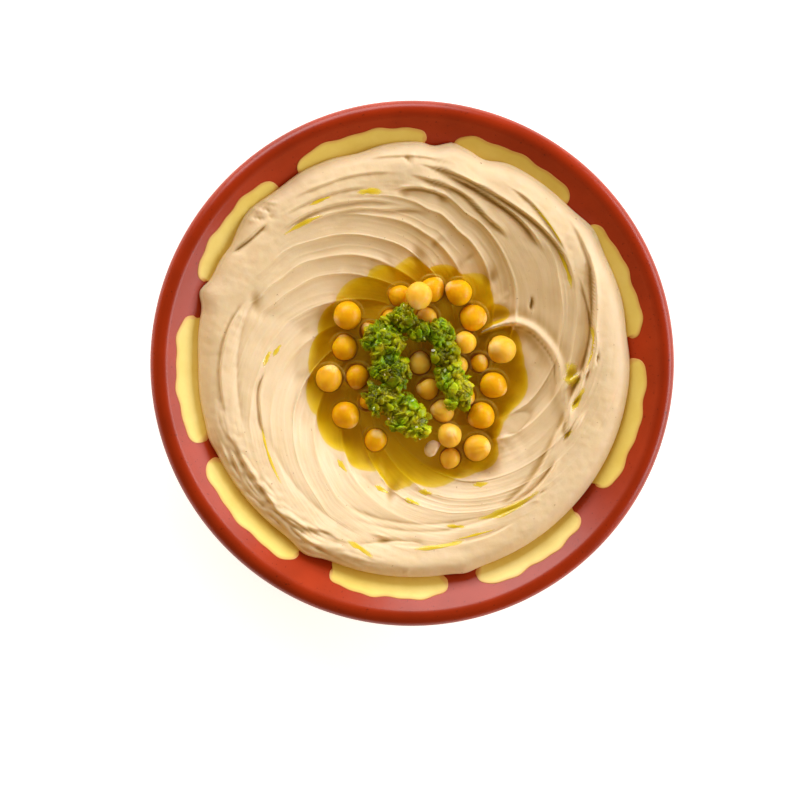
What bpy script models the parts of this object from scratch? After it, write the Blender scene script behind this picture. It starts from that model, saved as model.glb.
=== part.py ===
"""A clay dish of hummus with olive oil, chickpeas and a green relish.

The dish is a turned bowl on a foot ring. The hummus fills it up to a swirled
ring round a well, the oil lies level in that well, and the chickpeas, a pale
chip of garlic and the chopped relish stand in it. Lengths are in millimetres
in the constants and turn into metres in mm(). +Z is up, and the origin is the
middle of the foot's underside.
"""
import math

import bmesh
import bpy
import numpy as np
from mathutils import Matrix, Vector

# Dish
DISH_RADIUS = 100.0
DISH_HEIGHT = 36.0
LIP_ROUND = 4.0           # radius of the rolled lip
WALL_THICKNESS = 6.0
FLOOR_RADIUS = 40.0       # flat inside of the dish
FLOOR_HEIGHT = 7.0
WALL_TOP = (93.5, 33.1)   # radius and height that the inner wall's curve heads for
WALL_END = 88.0           # inner radius where it leaves that curve and steepens
WALL_FLARE = (91.0, 32.6)  # a point of the steeper stretch, below the lip
WALL_CURVE = 1.3          # 1 would be a straight cone
FOOT_OUTER = 52.0
FOOT_INNER = 45.0
FOOT_RECESS = 2.6
FOOT_DRAFT = 1.5          # by which the recess under the foot narrows
LIP_TURNS = (133.0, 112.0, 90.0, 65.0, 35.0, 5.0, -30.0)
OUTER_WALL = (91.0, 53.0)  # inner radii between which the outside follows the inside
DISH_STEPS = 44

# Hummus
EDGE_RADIUS = 83.4        # mean radius where it thins out on the wall
EDGE_SHIFT = 1.6          # it was spread a little to one side
EDGE_SHIFT_AT = 75.0      # degrees
WELL_RADIUS = 44.0        # mean radius of the well at the oil's level
WELL_SHIFT = 5.3
WELL_SHIFT_AT = 290.0
CREST_SHIFT = 0.09        # how far the ring's crest leans towards the edge
CREST_SHIFT_AT = 70.0
OIL_LEVEL = 20.5
OIL_DISC = (12.2, 53.0)   # floor and radius of the disc that the oil is cut from
GAP = 0.3                 # between pieces that touch
SEAT_GAP = 0.45           # under the hummus, whose facets and the dish's differ
FILM = 0.75               # oil under a chickpea
EDGE_THICKNESS = 1.2
GROOVE_DEPTH = 1.9
GROOVES_SPREAD = 0.64     # past this the faces no longer turn with the grooves
# Azimuths, at the well's edge, of the sharp crests between the spoon's grooves
GROOVE_CRESTS = (18, 38, 63, 82, 103, 119, 143, 163, 185, 208, 231, 250, 270, 290, 317, 335, 356)
STEPS_PER_GROOVE = 4
# The hummus from the middle (-1) over the well's edge (0) to the outer edge (1): height
SPREAD = (
    (-1.0, 13.3), (-0.45, 13.3), (-0.2, 14.4), (-0.08, 16.9), (0.0, 20.5), (0.1, 23.0), (0.2, 25.1),
    (0.31, 27.1), (0.42, 28.8), (0.53, 30.3), (0.64, 31.5), (0.76, 32.3), (0.88, 31.3), (1.0, 28.2),
)
UNDERSIDE = (1.0, 0.6, 0.25, -0.1, -1.0)
# The lip of hummus that the spoon left when it was lifted out: azimuth and radius
SPOON_TAIL = ((350.0, 59.5), (359.0, 56.6), (369.0, 50.9), (377.5, 42.7))
SPOON_TAIL_HEIGHT = 1.7
SPOON_TAIL_WIDTH = 1.9

# Chickpeas: x, y, radius, azimuth and tilt of the beak. The first lie on the well's floor.
CHICKPEAS = (
    (-24.9, 18.8, 5.5, 200, 20), (-26.2, 5.9, 5.1, 100, 10), (-32.4, -5.7, 5.3, 75, 35),
    (-21.3, -4.2, 5.0, 262, 15), (-4.6, 26.2, 4.6, 160, 0), (-8.3, 17.2, 4.6, 30, 10),
    (5.6, 17.9, 4.7, 215, 30), (7.6, 28.6, 4.9, 50, 10), (18.1, 27.6, 5.2, 150, 15),
    (23.1, 17.9, 5.3, 350, 20), (20.3, 8.3, 4.5, 150, 45), (34.7, 5.7, 5.6, 165, 50),
    (26.0, 0.3, 4.2, 60, 60), (-25.9, -19.4, 5.4, 300, 10), (-17.3, -14.4, 4.2, 30, 50),
    (-14.3, -29.4, 4.7, 80, 55), (2.9, 0.2, 4.8, 90, 35), (6.2, -9.6, 4.7, 180, 30),
    (31.2, -8.2, 5.4, 330, 10), (27.0, -20.0, 5.4, 205, 15), (12.0, -18.2, 4.9, 175, 25),
    (14.8, -36.3, 4.3, 250, 10), (14.2, -27.5, 4.8, 80, 70), (24.9, -32.6, 5.3, 10, 40),
    (20.5, -12.1, 4.5, 290, 50), (-16.4, 12.5, 4.3, 130, 50), (17.7, -0.9, 4.1, 200, 25),
    (1.9, 26.6, 5.3, 250, 40),
)
BALL = 0.97               # a chickpea's body against its stated radius
BEAK = 0.13               # how much further the beak reaches
BEAK_SHARPNESS = 6.0

# Garlic chip: x, y, height and half sizes
CHIP_AT = (7.6, -32.4, 21.3)
CHIP_HALF = (3.6, 2.6, 1.3)
CHIP_TURN = 60.0
CHIP_LEAN = 20.0

# Relish: x, y and radius of each overlapping lump; they share a height
RELISH = (
    (-11.3, 9.0, 8.2), (-4.2, 17.8, 5.2), (-9.2, -2.5, 8.0), (-10.5, -13.0, 7.4), (-3.5, -19.0, 7.4),
    (0.9, -23.8, 5.7), (2.6, 12.8, 4.9), (10.2, 11.8, 5.6), (12.4, 3.9, 5.5), (14.2, -5.2, 6.3),
    (17.7, -11.4, 5.8),
)
RELISH_MIDDLE = 24.9      # height of the lumps' centres
RELISH_HALF_HEIGHT = 3.7


def mm(value):
    """Millimetres to metres."""
    return value * 0.001


def material(name, color, roughness, metallic=0.0):
    """A Principled material with a plain colour."""
    made = bpy.data.materials.new(name)
    made.use_nodes = True
    shader = made.node_tree.nodes["Principled BSDF"]
    shader.inputs["Base Color"].default_value = (*color, 1.0)
    shader.inputs["Roughness"].default_value = roughness
    shader.inputs["Metallic"].default_value = metallic
    return made


def add_object(name, mesh, collection, paint=None):
    """Puts a mesh into the scene as an object of its own."""
    made = bpy.data.objects.new(name, mesh)
    collection.objects.link(made)
    if paint and not mesh.materials:
        mesh.materials.append(paint)
    return made


def hide_cutter(cutter):
    """A cutter shapes other objects and isn't part of the dish."""
    cutter.hide_render = True
    cutter.display_type = "WIRE"


def boolean(target, operation, operand):
    """Cuts the target by an object or a collection, or joins them."""
    cut = target.modifiers.new(operation.title(), "BOOLEAN")
    cut.operation = operation
    cut.solver = "EXACT"
    if isinstance(operand, bpy.types.Collection):
        cut.operand_type = "COLLECTION"
        cut.collection = operand
    else:
        cut.object = operand


def turned(name, profile, steps, collection, paint=None):
    """An object turned about Z from (radius, height) points that run down its outer side."""
    mesh = bpy.data.meshes.new(name)
    points = [(mm(radius), 0.0, mm(height)) for radius, height in profile]
    mesh.from_pydata(points, [(i, i + 1) for i in range(len(points) - 1)], [])
    made = add_object(name, mesh, collection, paint)
    screw = made.modifiers.new("Turn", "SCREW")
    screw.axis = "Z"
    screw.steps = screw.render_steps = steps
    screw.use_merge_vertices = True
    screw.merge_threshold = 0.00001
    screw.use_smooth_shade = True
    return made


# ---------------------------------------------------------------- dish

def wall_height(radius):
    """Height of the dish's inner surface: a flat floor, then a rising curve."""
    top_radius, top_height = WALL_TOP
    along = np.clip((radius - FLOOR_RADIUS) / (top_radius - FLOOR_RADIUS), 0.0, None)
    return FLOOR_HEIGHT + (top_height - FLOOR_HEIGHT) * along ** WALL_CURVE


def outer_wall_point(inner_radius):
    """The point one wall thickness below and outside a point of the inner wall."""
    step = 0.1
    slope = math.atan2(wall_height(inner_radius + step) - wall_height(inner_radius), step)
    radius = inner_radius + WALL_THICKNESS * math.sin(slope)
    return radius, wall_height(inner_radius) - WALL_THICKNESS * math.cos(slope)


def dish_profile():
    """Inside from the middle outwards, over the lip, down the outside and under the foot."""
    inside = [(0.0, FLOOR_HEIGHT)]
    inside += [(radius, wall_height(radius)) for radius in np.linspace(FLOOR_RADIUS, WALL_END, 5)]
    inside.append(WALL_FLARE)
    middle = (DISH_RADIUS - LIP_ROUND, DISH_HEIGHT - LIP_ROUND)
    turns = np.radians(LIP_TURNS)
    lip = [(middle[0] + LIP_ROUND * math.cos(t), middle[1] + LIP_ROUND * math.sin(t)) for t in turns]
    outside = [outer_wall_point(radius) for radius in np.linspace(*OUTER_WALL, 4)]
    foot = [(FOOT_OUTER, 0.0), (FOOT_INNER, 0.0), (FOOT_INNER - FOOT_DRAFT, FOOT_RECESS), (0.0, FOOT_RECESS)]
    return inside + lip + outside + foot


def make_dish(collection):
    """The glazed clay dish."""
    clay = material("red_clay_glaze", (0.36, 0.045, 0.018), 0.25)
    return turned("dish", dish_profile(), DISH_STEPS, collection, clay)


# ---------------------------------------------------------------- hummus

def edge_radius(azimuth):
    """Radius of the hummus's outer edge."""
    return EDGE_RADIUS + EDGE_SHIFT * np.cos(np.radians(azimuth - EDGE_SHIFT_AT))


def well_radius(azimuth):
    """Radius at which the hummus crosses the oil's level, grooves apart."""
    return WELL_RADIUS + WELL_SHIFT * np.cos(np.radians(azimuth - WELL_SHIFT_AT))


def radius_at(spread, azimuth):
    """Radius for a place on the spread: -1 the middle, 0 the well's edge, 1 the outer edge."""
    well = well_radius(azimuth)
    return np.where(spread < 0.0, well * (1.0 + spread), well + (edge_radius(azimuth) - well) * spread)


def spread_at(radius, azimuth):
    """The inverse of radius_at."""
    well = well_radius(azimuth)
    return np.where(radius < well, radius / well - 1.0, (radius - well) / (edge_radius(azimuth) - well))


def twist(spread):
    """Degrees by which the grooves turn on their way out, faster near the edge."""
    return 11.0 + 88.0 * spread + 60.0 * spread * np.abs(spread)


def groove_phase(azimuth):
    """Counts the grooves round the well: whole numbers lie on crests."""
    crests = np.array(GROOVE_CRESTS + (GROOVE_CRESTS[0] + 360,), dtype=float)
    turned_to = crests[0] + np.mod(azimuth - crests[0], 360.0)
    return np.interp(turned_to, crests, np.arange(len(crests)))


def groove_relief(spread, azimuth):
    """Scallops between sharp crests, deepest at the well's edge and gone at both ends."""
    phase = groove_phase(azimuth - twist(spread))
    scallop = np.abs(2.0 * np.mod(phase, 1.0) - 1.0) ** 1.5 - 0.55
    depth = np.interp(spread, (-0.5, -0.1, 0.05, 0.3, 0.64, 0.8), (0.0, 0.8, 1.0, 0.6, 0.4, 0.0))
    smooth_side = 1.0 - 0.6 * np.interp(spread, (0.05, 0.2), (0.0, 1.0)) * (
        0.5 + 0.5 * np.cos(np.radians(azimuth - 245.0)))
    return GROOVE_DEPTH * depth * smooth_side * scallop


def tail_relief(radius, azimuth):
    """The spoon's tail: a low ridge along a bent line, rounded in section."""
    bends = np.radians([bend[0] for bend in SPOON_TAIL])
    reach = np.array([bend[1] for bend in SPOON_TAIL])
    path_x, path_y = reach * np.cos(bends), reach * np.sin(bends)
    x, y = radius * np.cos(np.radians(azimuth)), radius * np.sin(np.radians(azimuth))
    nearest = np.full(np.shape(x), 1e9)
    for i in range(len(reach) - 1):
        run_x, run_y = path_x[i + 1] - path_x[i], path_y[i + 1] - path_y[i]
        along = ((x - path_x[i]) * run_x + (y - path_y[i]) * run_y) / (run_x ** 2 + run_y ** 2)
        along = np.clip(along, 0.0, 1.0)
        away = np.hypot(x - path_x[i] - along * run_x, y - path_y[i] - along * run_y)
        nearest = np.minimum(nearest, away)
    return SPOON_TAIL_HEIGHT * np.exp(-(nearest / SPOON_TAIL_WIDTH) ** 2)


def hummus_height(radius, azimuth):
    """Height of the hummus's upper surface."""
    spread = spread_at(radius, azimuth)
    rise = np.sin(np.pi * np.clip(spread, 0.0, 1.0))
    leaning = spread - CREST_SHIFT * np.cos(np.radians(azimuth - CREST_SHIFT_AT)) * rise
    base = np.interp(leaning, *zip(*SPREAD))
    return base + groove_relief(spread, azimuth) + tail_relief(radius, azimuth)


def hummus_profile():
    """Nominal section: x runs 0, 1, 2 for the middle, well's edge and outer edge, z 1 on top and 0 below."""
    top = [(1.0 + spread, 1.0) for spread, _ in SPREAD]
    below = [(1.0 + spread, 0.0) for spread in UNDERSIDE]
    return [(1000.0 * x, 1000.0 * z) for x, z in top + below]


def shape_hummus(mesh):
    """Moves the turned block's points: round by the twist, out to the edges, up to the heights.

    Its faces become triangles, so that the oil that is cut by them fits them.
    """
    count = len(mesh.vertices)
    points = np.empty(count * 3)
    mesh.vertices.foreach_get("co", points)
    x, y, level = points.reshape(-1, 3).T
    spread = np.hypot(x, y) - 1.0
    turn = np.degrees(np.arctan2(y, x)) % 360.0
    steps = turn / 360.0 * len(GROOVE_CRESTS)
    crests = np.array(GROOVE_CRESTS + (GROOVE_CRESTS[0] + 360,), dtype=float)
    start = np.interp(steps, np.arange(len(crests)), crests)
    on_top = level > 0.5
    azimuth = start + twist(np.where(on_top, np.minimum(spread, GROOVES_SPREAD), GROOVES_SPREAD))
    radius = radius_at(spread, azimuth)
    rim = spread > 0.999
    top = np.where(rim, wall_height(radius) + SEAT_GAP + EDGE_THICKNESS, hummus_height(radius, azimuth))
    height = np.where(on_top, top, wall_height(radius) + SEAT_GAP)
    shaped = np.stack([radius * np.cos(np.radians(azimuth)), radius * np.sin(np.radians(azimuth)), height])
    mesh.vertices.foreach_set("co", mm(shaped.T).ravel())
    flat = bmesh.new()
    flat.from_mesh(mesh)
    bmesh.ops.triangulate(flat, faces=flat.faces)
    flat.to_mesh(mesh)
    flat.free()


def make_hummus(collection):
    """The hummus, spread with the back of a spoon."""
    paste = material("hummus", (0.83, 0.64, 0.38), 0.55)
    steps = STEPS_PER_GROOVE * len(GROOVE_CRESTS)
    block = turned("hummus_block", hummus_profile(), steps, collection)
    bpy.context.view_layer.update()
    evaluated = block.evaluated_get(bpy.context.evaluated_depsgraph_get())
    mesh = bpy.data.meshes.new_from_object(evaluated)
    mesh.name = "hummus"
    bpy.data.objects.remove(block)
    shape_hummus(mesh)
    return add_object("hummus", mesh, collection, paste)


# ---------------------------------------------------------------- chickpeas and chip

def ball_mesh(name, segments=8, rings=5):
    """A ball of radius 1 with few faces and its poles along X."""
    ball = bmesh.new()
    upright = Matrix.Rotation(math.radians(90.0), 4, "Y")
    bmesh.ops.create_uvsphere(ball, u_segments=segments, v_segments=rings, radius=1.0, matrix=upright)
    mesh = bpy.data.meshes.new(name)
    ball.to_mesh(mesh)
    ball.free()
    mesh.shade_smooth()
    return mesh


def chickpea_mesh():
    """One chickpea of radius 1: a ball with a beak at +X."""
    mesh = ball_mesh("chickpea")
    for point in mesh.vertices:
        point.co *= BALL + BEAK * max(0.0, point.co.x) ** BEAK_SHARPNESS
    return mesh


def rest_height(x, y, radius, lying):
    """Lowest centre height at which a ball clears the hummus and the balls that lie already."""
    clear = radius + FILM
    turns = np.radians(np.arange(0.0, 360.0, 15.0))
    rings = clear * np.linspace(0.0, 0.98, 10)[:, None]
    probe_x, probe_y = x + rings * np.cos(turns), y + rings * np.sin(turns)
    ground = hummus_height(np.hypot(probe_x, probe_y), np.degrees(np.arctan2(probe_y, probe_x)))
    height = float(np.max(ground + np.sqrt(clear ** 2 - rings ** 2)))
    for other_x, other_y, other_height, other_radius in lying:
        apart = math.hypot(x - other_x, y - other_y)
        need = radius + other_radius + GAP
        if apart < need:
            height = max(height, other_height + math.sqrt(need ** 2 - apart ** 2))
    return height


def make_chickpeas(collection, gaps):
    """The chickpeas, dropped one after another, and a larger copy of each to cut its surroundings."""
    skin = material("chickpea", (0.74, 0.36, 0.07), 0.35)
    mesh = chickpea_mesh()
    mesh.materials.append(skin)
    lying = []
    for number, (x, y, radius, beak_azimuth, beak_tilt) in enumerate(CHICKPEAS, start=1):
        height = rest_height(x, y, radius, lying)
        lying.append((x, y, height, radius))
        turn = Matrix.Rotation(math.radians(beak_azimuth), 4, "Z")
        tilt = Matrix.Rotation(-math.radians(beak_tilt), 4, "Y")
        place = Matrix.Translation(Vector((mm(x), mm(y), mm(height))))
        ball = add_object(f"chickpea_{number:02d}", mesh, collection)
        ball.matrix_world = place @ turn @ tilt @ Matrix.Scale(mm(radius), 4)
        gap = add_object(f"gap_{number:02d}", mesh, gaps)
        gap.matrix_world = place @ turn @ tilt @ Matrix.Scale(mm(radius + GAP + 0.05), 4)
        hide_cutter(gap)


def make_chip(collection, gaps):
    """A flat chip of garlic that leans at the oil's surface."""
    pale = material("garlic_chip", (0.86, 0.72, 0.5), 0.4)
    mesh = ball_mesh("garlic_chip")
    turn = Matrix.Rotation(math.radians(CHIP_TURN), 4, "Z") @ Matrix.Rotation(math.radians(CHIP_LEAN), 4, "Y")
    place = Matrix.Translation(Vector([mm(value) for value in CHIP_AT]))
    for name, extra, group in (("garlic_chip", 0.0, collection), ("gap_chip", GAP + 0.05, gaps)):
        size = Matrix.Diagonal([mm(half + extra) for half in CHIP_HALF] + [1.0])
        chip = add_object(name, mesh, group, pale)
        chip.matrix_world = place @ turn @ size
    hide_cutter(chip)


# ---------------------------------------------------------------- oil and relish

def make_oil(collection, cutters, gaps, hummus):
    """The oil: a level disc, cut by the hummus below it and round what stands in it."""
    oil = material("olive_oil", (0.45, 0.28, 0.01), 0.08)
    disc = bmesh.new()
    floor, reach = OIL_DISC
    bmesh.ops.create_cone(disc, cap_ends=True, segments=48, radius1=mm(reach), radius2=mm(reach),
                          depth=mm(OIL_LEVEL - floor))
    mesh = bpy.data.meshes.new("olive_oil")
    disc.to_mesh(mesh)
    disc.free()
    pool = add_object("olive_oil", mesh, collection, oil)
    pool.location.z = mm((OIL_LEVEL + floor) / 2)
    bed = add_object("oil_bed", hummus.data, cutters)
    bed.location.z = mm(GAP + 0.05)
    hide_cutter(bed)
    boolean(pool, "DIFFERENCE", bed)
    boolean(pool, "DIFFERENCE", gaps)


def make_relish(collection, lumps, gaps):
    """The chopped green relish, heaped over the chickpeas: lumps joined and cut to lie on them."""
    green = material("green_relish", (0.09, 0.22, 0.01), 0.4)
    mesh = ball_mesh("relish_lump")
    for number, (x, y, radius) in enumerate(RELISH):
        first = number == 0
        lump = add_object("green_relish" if first else f"lump_{number:02d}", mesh,
                          collection if first else lumps, green)
        lump.location = (mm(x), mm(y), mm(RELISH_MIDDLE))
        lump.scale = (mm(radius), mm(radius), mm(RELISH_HALF_HEIGHT))
        if first:
            heap = lump
        else:
            hide_cutter(lump)
    boolean(heap, "UNION", lumps)
    boolean(heap, "DIFFERENCE", gaps)


def new_collection(name):
    """A collection in the scene."""
    made = bpy.data.collections.new(name)
    bpy.context.scene.collection.children.link(made)
    return made


for old in list(bpy.data.objects):
    bpy.data.objects.remove(old)
parts = new_collection("hummus_dish")
cutters = new_collection("cutters")
gaps = new_collection("garnish_gaps")
lumps = new_collection("relish_lumps")
make_dish(parts)
hummus = make_hummus(parts)
make_chickpeas(parts, gaps)
make_chip(parts, gaps)
make_oil(parts, cutters, gaps, hummus)
make_relish(parts, lumps, gaps)
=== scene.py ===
"""Hummus in a glazed clay dish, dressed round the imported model.

The sections follow the dish as it is filled: camera and light, the dish, its
painted patches, the hummus, the chickpeas, the chip of garlic, the oil, the
oil left on the hummus and the relish. Sizes in the sections are millimetres.
"""
import math

import bpy
import numpy as np
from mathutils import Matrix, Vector


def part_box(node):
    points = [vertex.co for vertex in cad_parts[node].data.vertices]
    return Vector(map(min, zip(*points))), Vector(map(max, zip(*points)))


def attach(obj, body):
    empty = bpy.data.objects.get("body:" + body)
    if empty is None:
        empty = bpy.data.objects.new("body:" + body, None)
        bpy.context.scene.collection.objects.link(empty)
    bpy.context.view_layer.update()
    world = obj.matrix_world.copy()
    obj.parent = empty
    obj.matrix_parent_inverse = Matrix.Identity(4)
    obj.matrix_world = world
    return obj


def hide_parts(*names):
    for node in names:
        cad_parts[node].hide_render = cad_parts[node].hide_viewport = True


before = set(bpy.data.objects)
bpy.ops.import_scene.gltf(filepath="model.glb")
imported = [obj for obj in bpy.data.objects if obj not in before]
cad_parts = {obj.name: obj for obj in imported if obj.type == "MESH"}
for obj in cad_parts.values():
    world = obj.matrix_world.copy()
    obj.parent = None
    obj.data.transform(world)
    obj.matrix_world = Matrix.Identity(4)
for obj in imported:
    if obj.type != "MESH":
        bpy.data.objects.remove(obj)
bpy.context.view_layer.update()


# ---------------------------------------------------------------- camera
# A long lens looks almost straight down into the dish, a few degrees off the
# upright, with the dish a little above and right of the picture's middle.

CAMERA_LENS = 85.0
CAMERA_DISTANCE = 0.7125     # metres, along the view, from the middle of the rim
CAMERA_TILT = 5.0            # degrees off the upright
CAMERA_AZIMUTH = 145.0       # side of the dish from which it looks
AIM_LEFT, AIM_BELOW = 0.00603, 0.01300

rim_middle = Vector((0.0, 0.0, 0.038))
tilt, side = math.radians(CAMERA_TILT), math.radians(CAMERA_AZIMUTH)
backward = Vector((math.sin(tilt) * math.cos(side), math.sin(tilt) * math.sin(side), math.cos(tilt)))
rightward = Vector((0.0, 1.0, 0.0)).cross(backward).normalized()
upward = backward.cross(rightward)
camera = bpy.data.objects.new("camera", bpy.data.cameras.new("camera"))
bpy.context.scene.collection.objects.link(camera)
camera.data.lens = CAMERA_LENS
camera.data.sensor_width = 36.0
camera.data.clip_end = 20.0
camera.rotation_euler = backward.to_track_quat("Z", "Y").to_euler()
turn = camera.rotation_euler.to_matrix()
turn.col[0], turn.col[1], turn.col[2] = rightward, upward, backward
camera.rotation_euler = turn.to_euler()
camera.location = rim_middle - rightward * AIM_LEFT - upward * AIM_BELOW + backward * CAMERA_DISTANCE
bpy.context.scene.camera = camera


# ---------------------------------------------------------------- light and floor
# Two wide softboxes, low over the dish's right and over its far side, and a
# pale warm surround. The floor is a white sweep that glows a little.

SOFTBOXES = (
    # name, azimuth, elevation, distance, width, height, watts
    ("softbox_right", 4.0, 20.5, 0.95, 1.3, 0.38, 10.8),
    ("softbox_far", 106.0, 21.0, 0.95, 1.0, 0.46, 11.2),
)
SOFTBOX_COLOR = (0.86, 0.94, 1.0)
SURROUND_COLOR = (1.0, 0.75, 0.28, 1.0)
SURROUND_STRENGTH = 0.35


def softbox(name, azimuth, elevation, distance, width, height, watts):
    """A rectangular lamp at an azimuth and elevation, facing the dish."""
    lamp = bpy.data.lights.new(name, "AREA")
    lamp.shape = "RECTANGLE"
    lamp.size, lamp.size_y = width, height
    lamp.energy = watts
    lamp.color = SOFTBOX_COLOR
    made = bpy.data.objects.new(name, lamp)
    bpy.context.scene.collection.objects.link(made)
    around, up = math.radians(azimuth), math.radians(elevation)
    out = Vector((math.cos(up) * math.cos(around), math.cos(up) * math.sin(around), math.sin(up)))
    made.location = rim_middle + out * distance
    made.rotation_euler = out.to_track_quat("Z", "Y").to_euler()
    return made


for box_light in SOFTBOXES:
    softbox(*box_light)

world = bpy.data.worlds.new("surround")
bpy.context.scene.world = world
world.use_nodes = True
world.node_tree.nodes["Background"].inputs["Color"].default_value = SURROUND_COLOR
world.node_tree.nodes["Background"].inputs["Strength"].default_value = SURROUND_STRENGTH
bpy.context.scene.view_settings.view_transform = "Standard"


def node(tree, kind, sockets=None, **settings):
    """Adds a node. Each socket is given a value, or an output that feeds it."""
    made = tree.nodes.new(kind)
    for name, value in settings.items():
        setattr(made, name, value)
    for name, value in (sockets or {}).items():
        if isinstance(value, bpy.types.NodeSocket):
            tree.links.new(value, made.inputs[name])
        else:
            made.inputs[name].default_value = value
    return made


def shaded(name, **sockets):
    """A new material, its node tree and its Principled shader with these plain values."""
    made = bpy.data.materials.new(name)
    made.use_nodes = True
    tree = made.node_tree
    shader = tree.nodes["Principled BSDF"]
    for socket, value in sockets.items():
        shader.inputs[socket.replace("_", " ")].default_value = value
    return made, tree, shader


def paint(red, green, blue):
    """A colour in everyday 0 to 255 steps, as the shader's linear values."""
    steps = np.array((red, green, blue)) / 255.0
    linear = np.where(steps <= 0.04045, steps / 12.92, ((steps + 0.055) / 1.055) ** 2.4)
    return (*[float(value) for value in linear], 1.0)


bpy.ops.mesh.primitive_plane_add(size=6.0)
floor = bpy.context.object
floor.name = "floor"
sweep, tree, shader = shaded("white_sweep", Base_Color=paint(246, 246, 246), Roughness=0.9,
                             Emission_Color=(1.0, 1.0, 1.0, 1.0), Emission_Strength=0.68)
floor.data.materials.append(sweep)


# ---------------------------------------------------------------- dish
# Thrown red clay, dipped in a clear brownish red glaze, with a rolled lip and a
# foot ring that stayed bare. It replaces the faceted dish.

DISH_RADIUS = 100.0
LIP_HEIGHT = 35.95
LIP_ROUND = 4.0
WALL_THICKNESS = 6.0
FLOOR_RADIUS = 40.0
FLOOR_HEIGHT = 7.0
WALL_TOP = (93.5, 33.1)
WALL_CURVE = 1.3
WALL_STEEPER = 0.26          # by how much the wall's slope grows over that curve towards the lip
FOOT_OUTER, FOOT_INNER, FOOT_RECESS = 52.0, 45.0, 2.6
DISH_MERIDIANS = 288


def flow(x, knots, values):
    """Smooth curve through the knots: on each stretch the cubic whose end slopes are the knots' mean slopes."""
    knots, values = np.asarray(knots, float), np.asarray(values, float)
    slopes = np.gradient(values, knots)
    i = np.clip(np.searchsorted(knots, x, side="right") - 1, 0, len(knots) - 2)
    step = knots[i + 1] - knots[i]
    t = np.clip((x - knots[i]) / step, 0.0, 1.0)
    start = values[i] * (1 + 2 * t) * (1 - t) ** 2 + slopes[i] * step * t * (1 - t) ** 2
    end = values[i + 1] * t ** 2 * (3 - 2 * t) - slopes[i + 1] * step * t ** 2 * (1 - t)
    return start + end


def wall_height(radius):
    """Height of the dish's inner surface: a flat floor, then a power of the way to the lip."""
    top_radius, top_height = WALL_TOP
    along = np.clip((radius - FLOOR_RADIUS) / (top_radius - FLOOR_RADIUS), 0.0, None)
    past = np.clip(radius - 84.0, 0.0, None)
    lift = WALL_STEEPER * np.where(past < 4.0, past ** 2 / 8.0, past - 2.0)
    return FLOOR_HEIGHT + (top_height - FLOOR_HEIGHT) * along ** WALL_CURVE + lift


def polar(radius, azimuth, height):
    """Points in metres from radius and height in millimetres and azimuth in degrees."""
    around = np.radians(azimuth)
    spot = np.broadcast_arrays(radius * np.cos(around), radius * np.sin(around), height)
    return np.stack(spot, axis=-1) * 0.001


def new_piece(name, points, faces, material, smooth=True):
    """A mesh object from an array of points and a list of faces."""
    mesh = bpy.data.meshes.new(name)
    mesh.from_pydata(points.reshape(-1, 3), [], faces)
    mesh.polygons.foreach_set("use_smooth", np.full(len(mesh.polygons), smooth))
    mesh.materials.append(material)
    made = bpy.data.objects.new(name, mesh)
    bpy.context.scene.collection.objects.link(made)
    return made


def ring_faces(rings, around, first=0):
    """Quads between closed rings, each ring a row of points, faces outwards for rings that run up the outside."""
    index = first + np.arange(rings * around).reshape(rings, around)
    after = np.roll(index, -1, axis=1)
    return np.stack([index[:-1], after[:-1], after[1:], index[1:]], axis=-1).reshape(-1, 4)


def turned_piece(name, rings, material):
    """A closed body from rings of points that run from a bottom pole over the outside to a top pole.

    The first and the last ring are shrunk to one point each, which closes the poles.
    """
    around = rings.shape[1]
    middle = rings[1:-1]
    poles = np.stack([rings[0].mean(axis=0), rings[-1].mean(axis=0)])
    count = middle.shape[0] * around
    start, last = np.arange(around), count - around + np.arange(around)
    bottom = np.stack([np.full(around, count), np.roll(start, -1), start], axis=-1)
    top = np.stack([np.full(around, count + 1), last, np.roll(last, -1)], axis=-1)
    faces = ring_faces(middle.shape[0], around).tolist() + bottom.tolist() + top.tolist()
    return new_piece(name, np.concatenate([middle.reshape(-1, 3), poles]), faces, material)


def dish_section():
    """Radius and height of the dish's section, from under the foot, up the outside and over the lip to the middle."""
    recess = [(0.0, FOOT_RECESS), (20.0, FOOT_RECESS), (FOOT_INNER - 2.2, FOOT_RECESS), (FOOT_INNER - 1.2, 1.9)]
    foot = [(FOOT_INNER - 0.1, 0.3), (FOOT_INNER + 0.5, 0.0), (FOOT_OUTER - 1.0, 0.0), (FOOT_OUTER - 0.2, 0.35)]
    inner = np.linspace(53.5, 91.8, 26)
    slope = np.arctan(np.gradient(wall_height(inner), inner))
    outside = np.stack([inner + WALL_THICKNESS * np.sin(slope), wall_height(inner) - WALL_THICKNESS * np.cos(slope)])
    turns = np.radians(np.linspace(-28.0, 131.0, 30))
    lip = np.stack([DISH_RADIUS - LIP_ROUND + LIP_ROUND * np.cos(turns),
                    LIP_HEIGHT - LIP_ROUND + LIP_ROUND * np.sin(turns)])
    # The wall meets the lip's round tangentially, so what is left between their heights is spread over 3 mm
    last_radius, last_height = lip[0, -1], lip[1, -1]
    sweep = np.linspace(last_radius, 89.5, 18)[1:]
    left_over = (last_height - wall_height(last_radius)) * np.clip(1.0 - (last_radius - sweep) / 3.0, 0.0, 1.0) ** 2
    hollow = np.stack([sweep, wall_height(sweep) + left_over])
    wall = np.array([88.6, 87.5, 86.2, 84.5, 80.0, 73.0, 63.0, 53.0, 43.0, 39.0, 0.01])
    inside = np.stack([wall, wall_height(wall)])
    ends = np.array(recess + foot).T
    return np.concatenate([ends, outside, lip, hollow, inside], axis=1)


section_radius, section_height = dish_section()
azimuths = np.arange(DISH_MERIDIANS) * 360.0 / DISH_MERIDIANS
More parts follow.
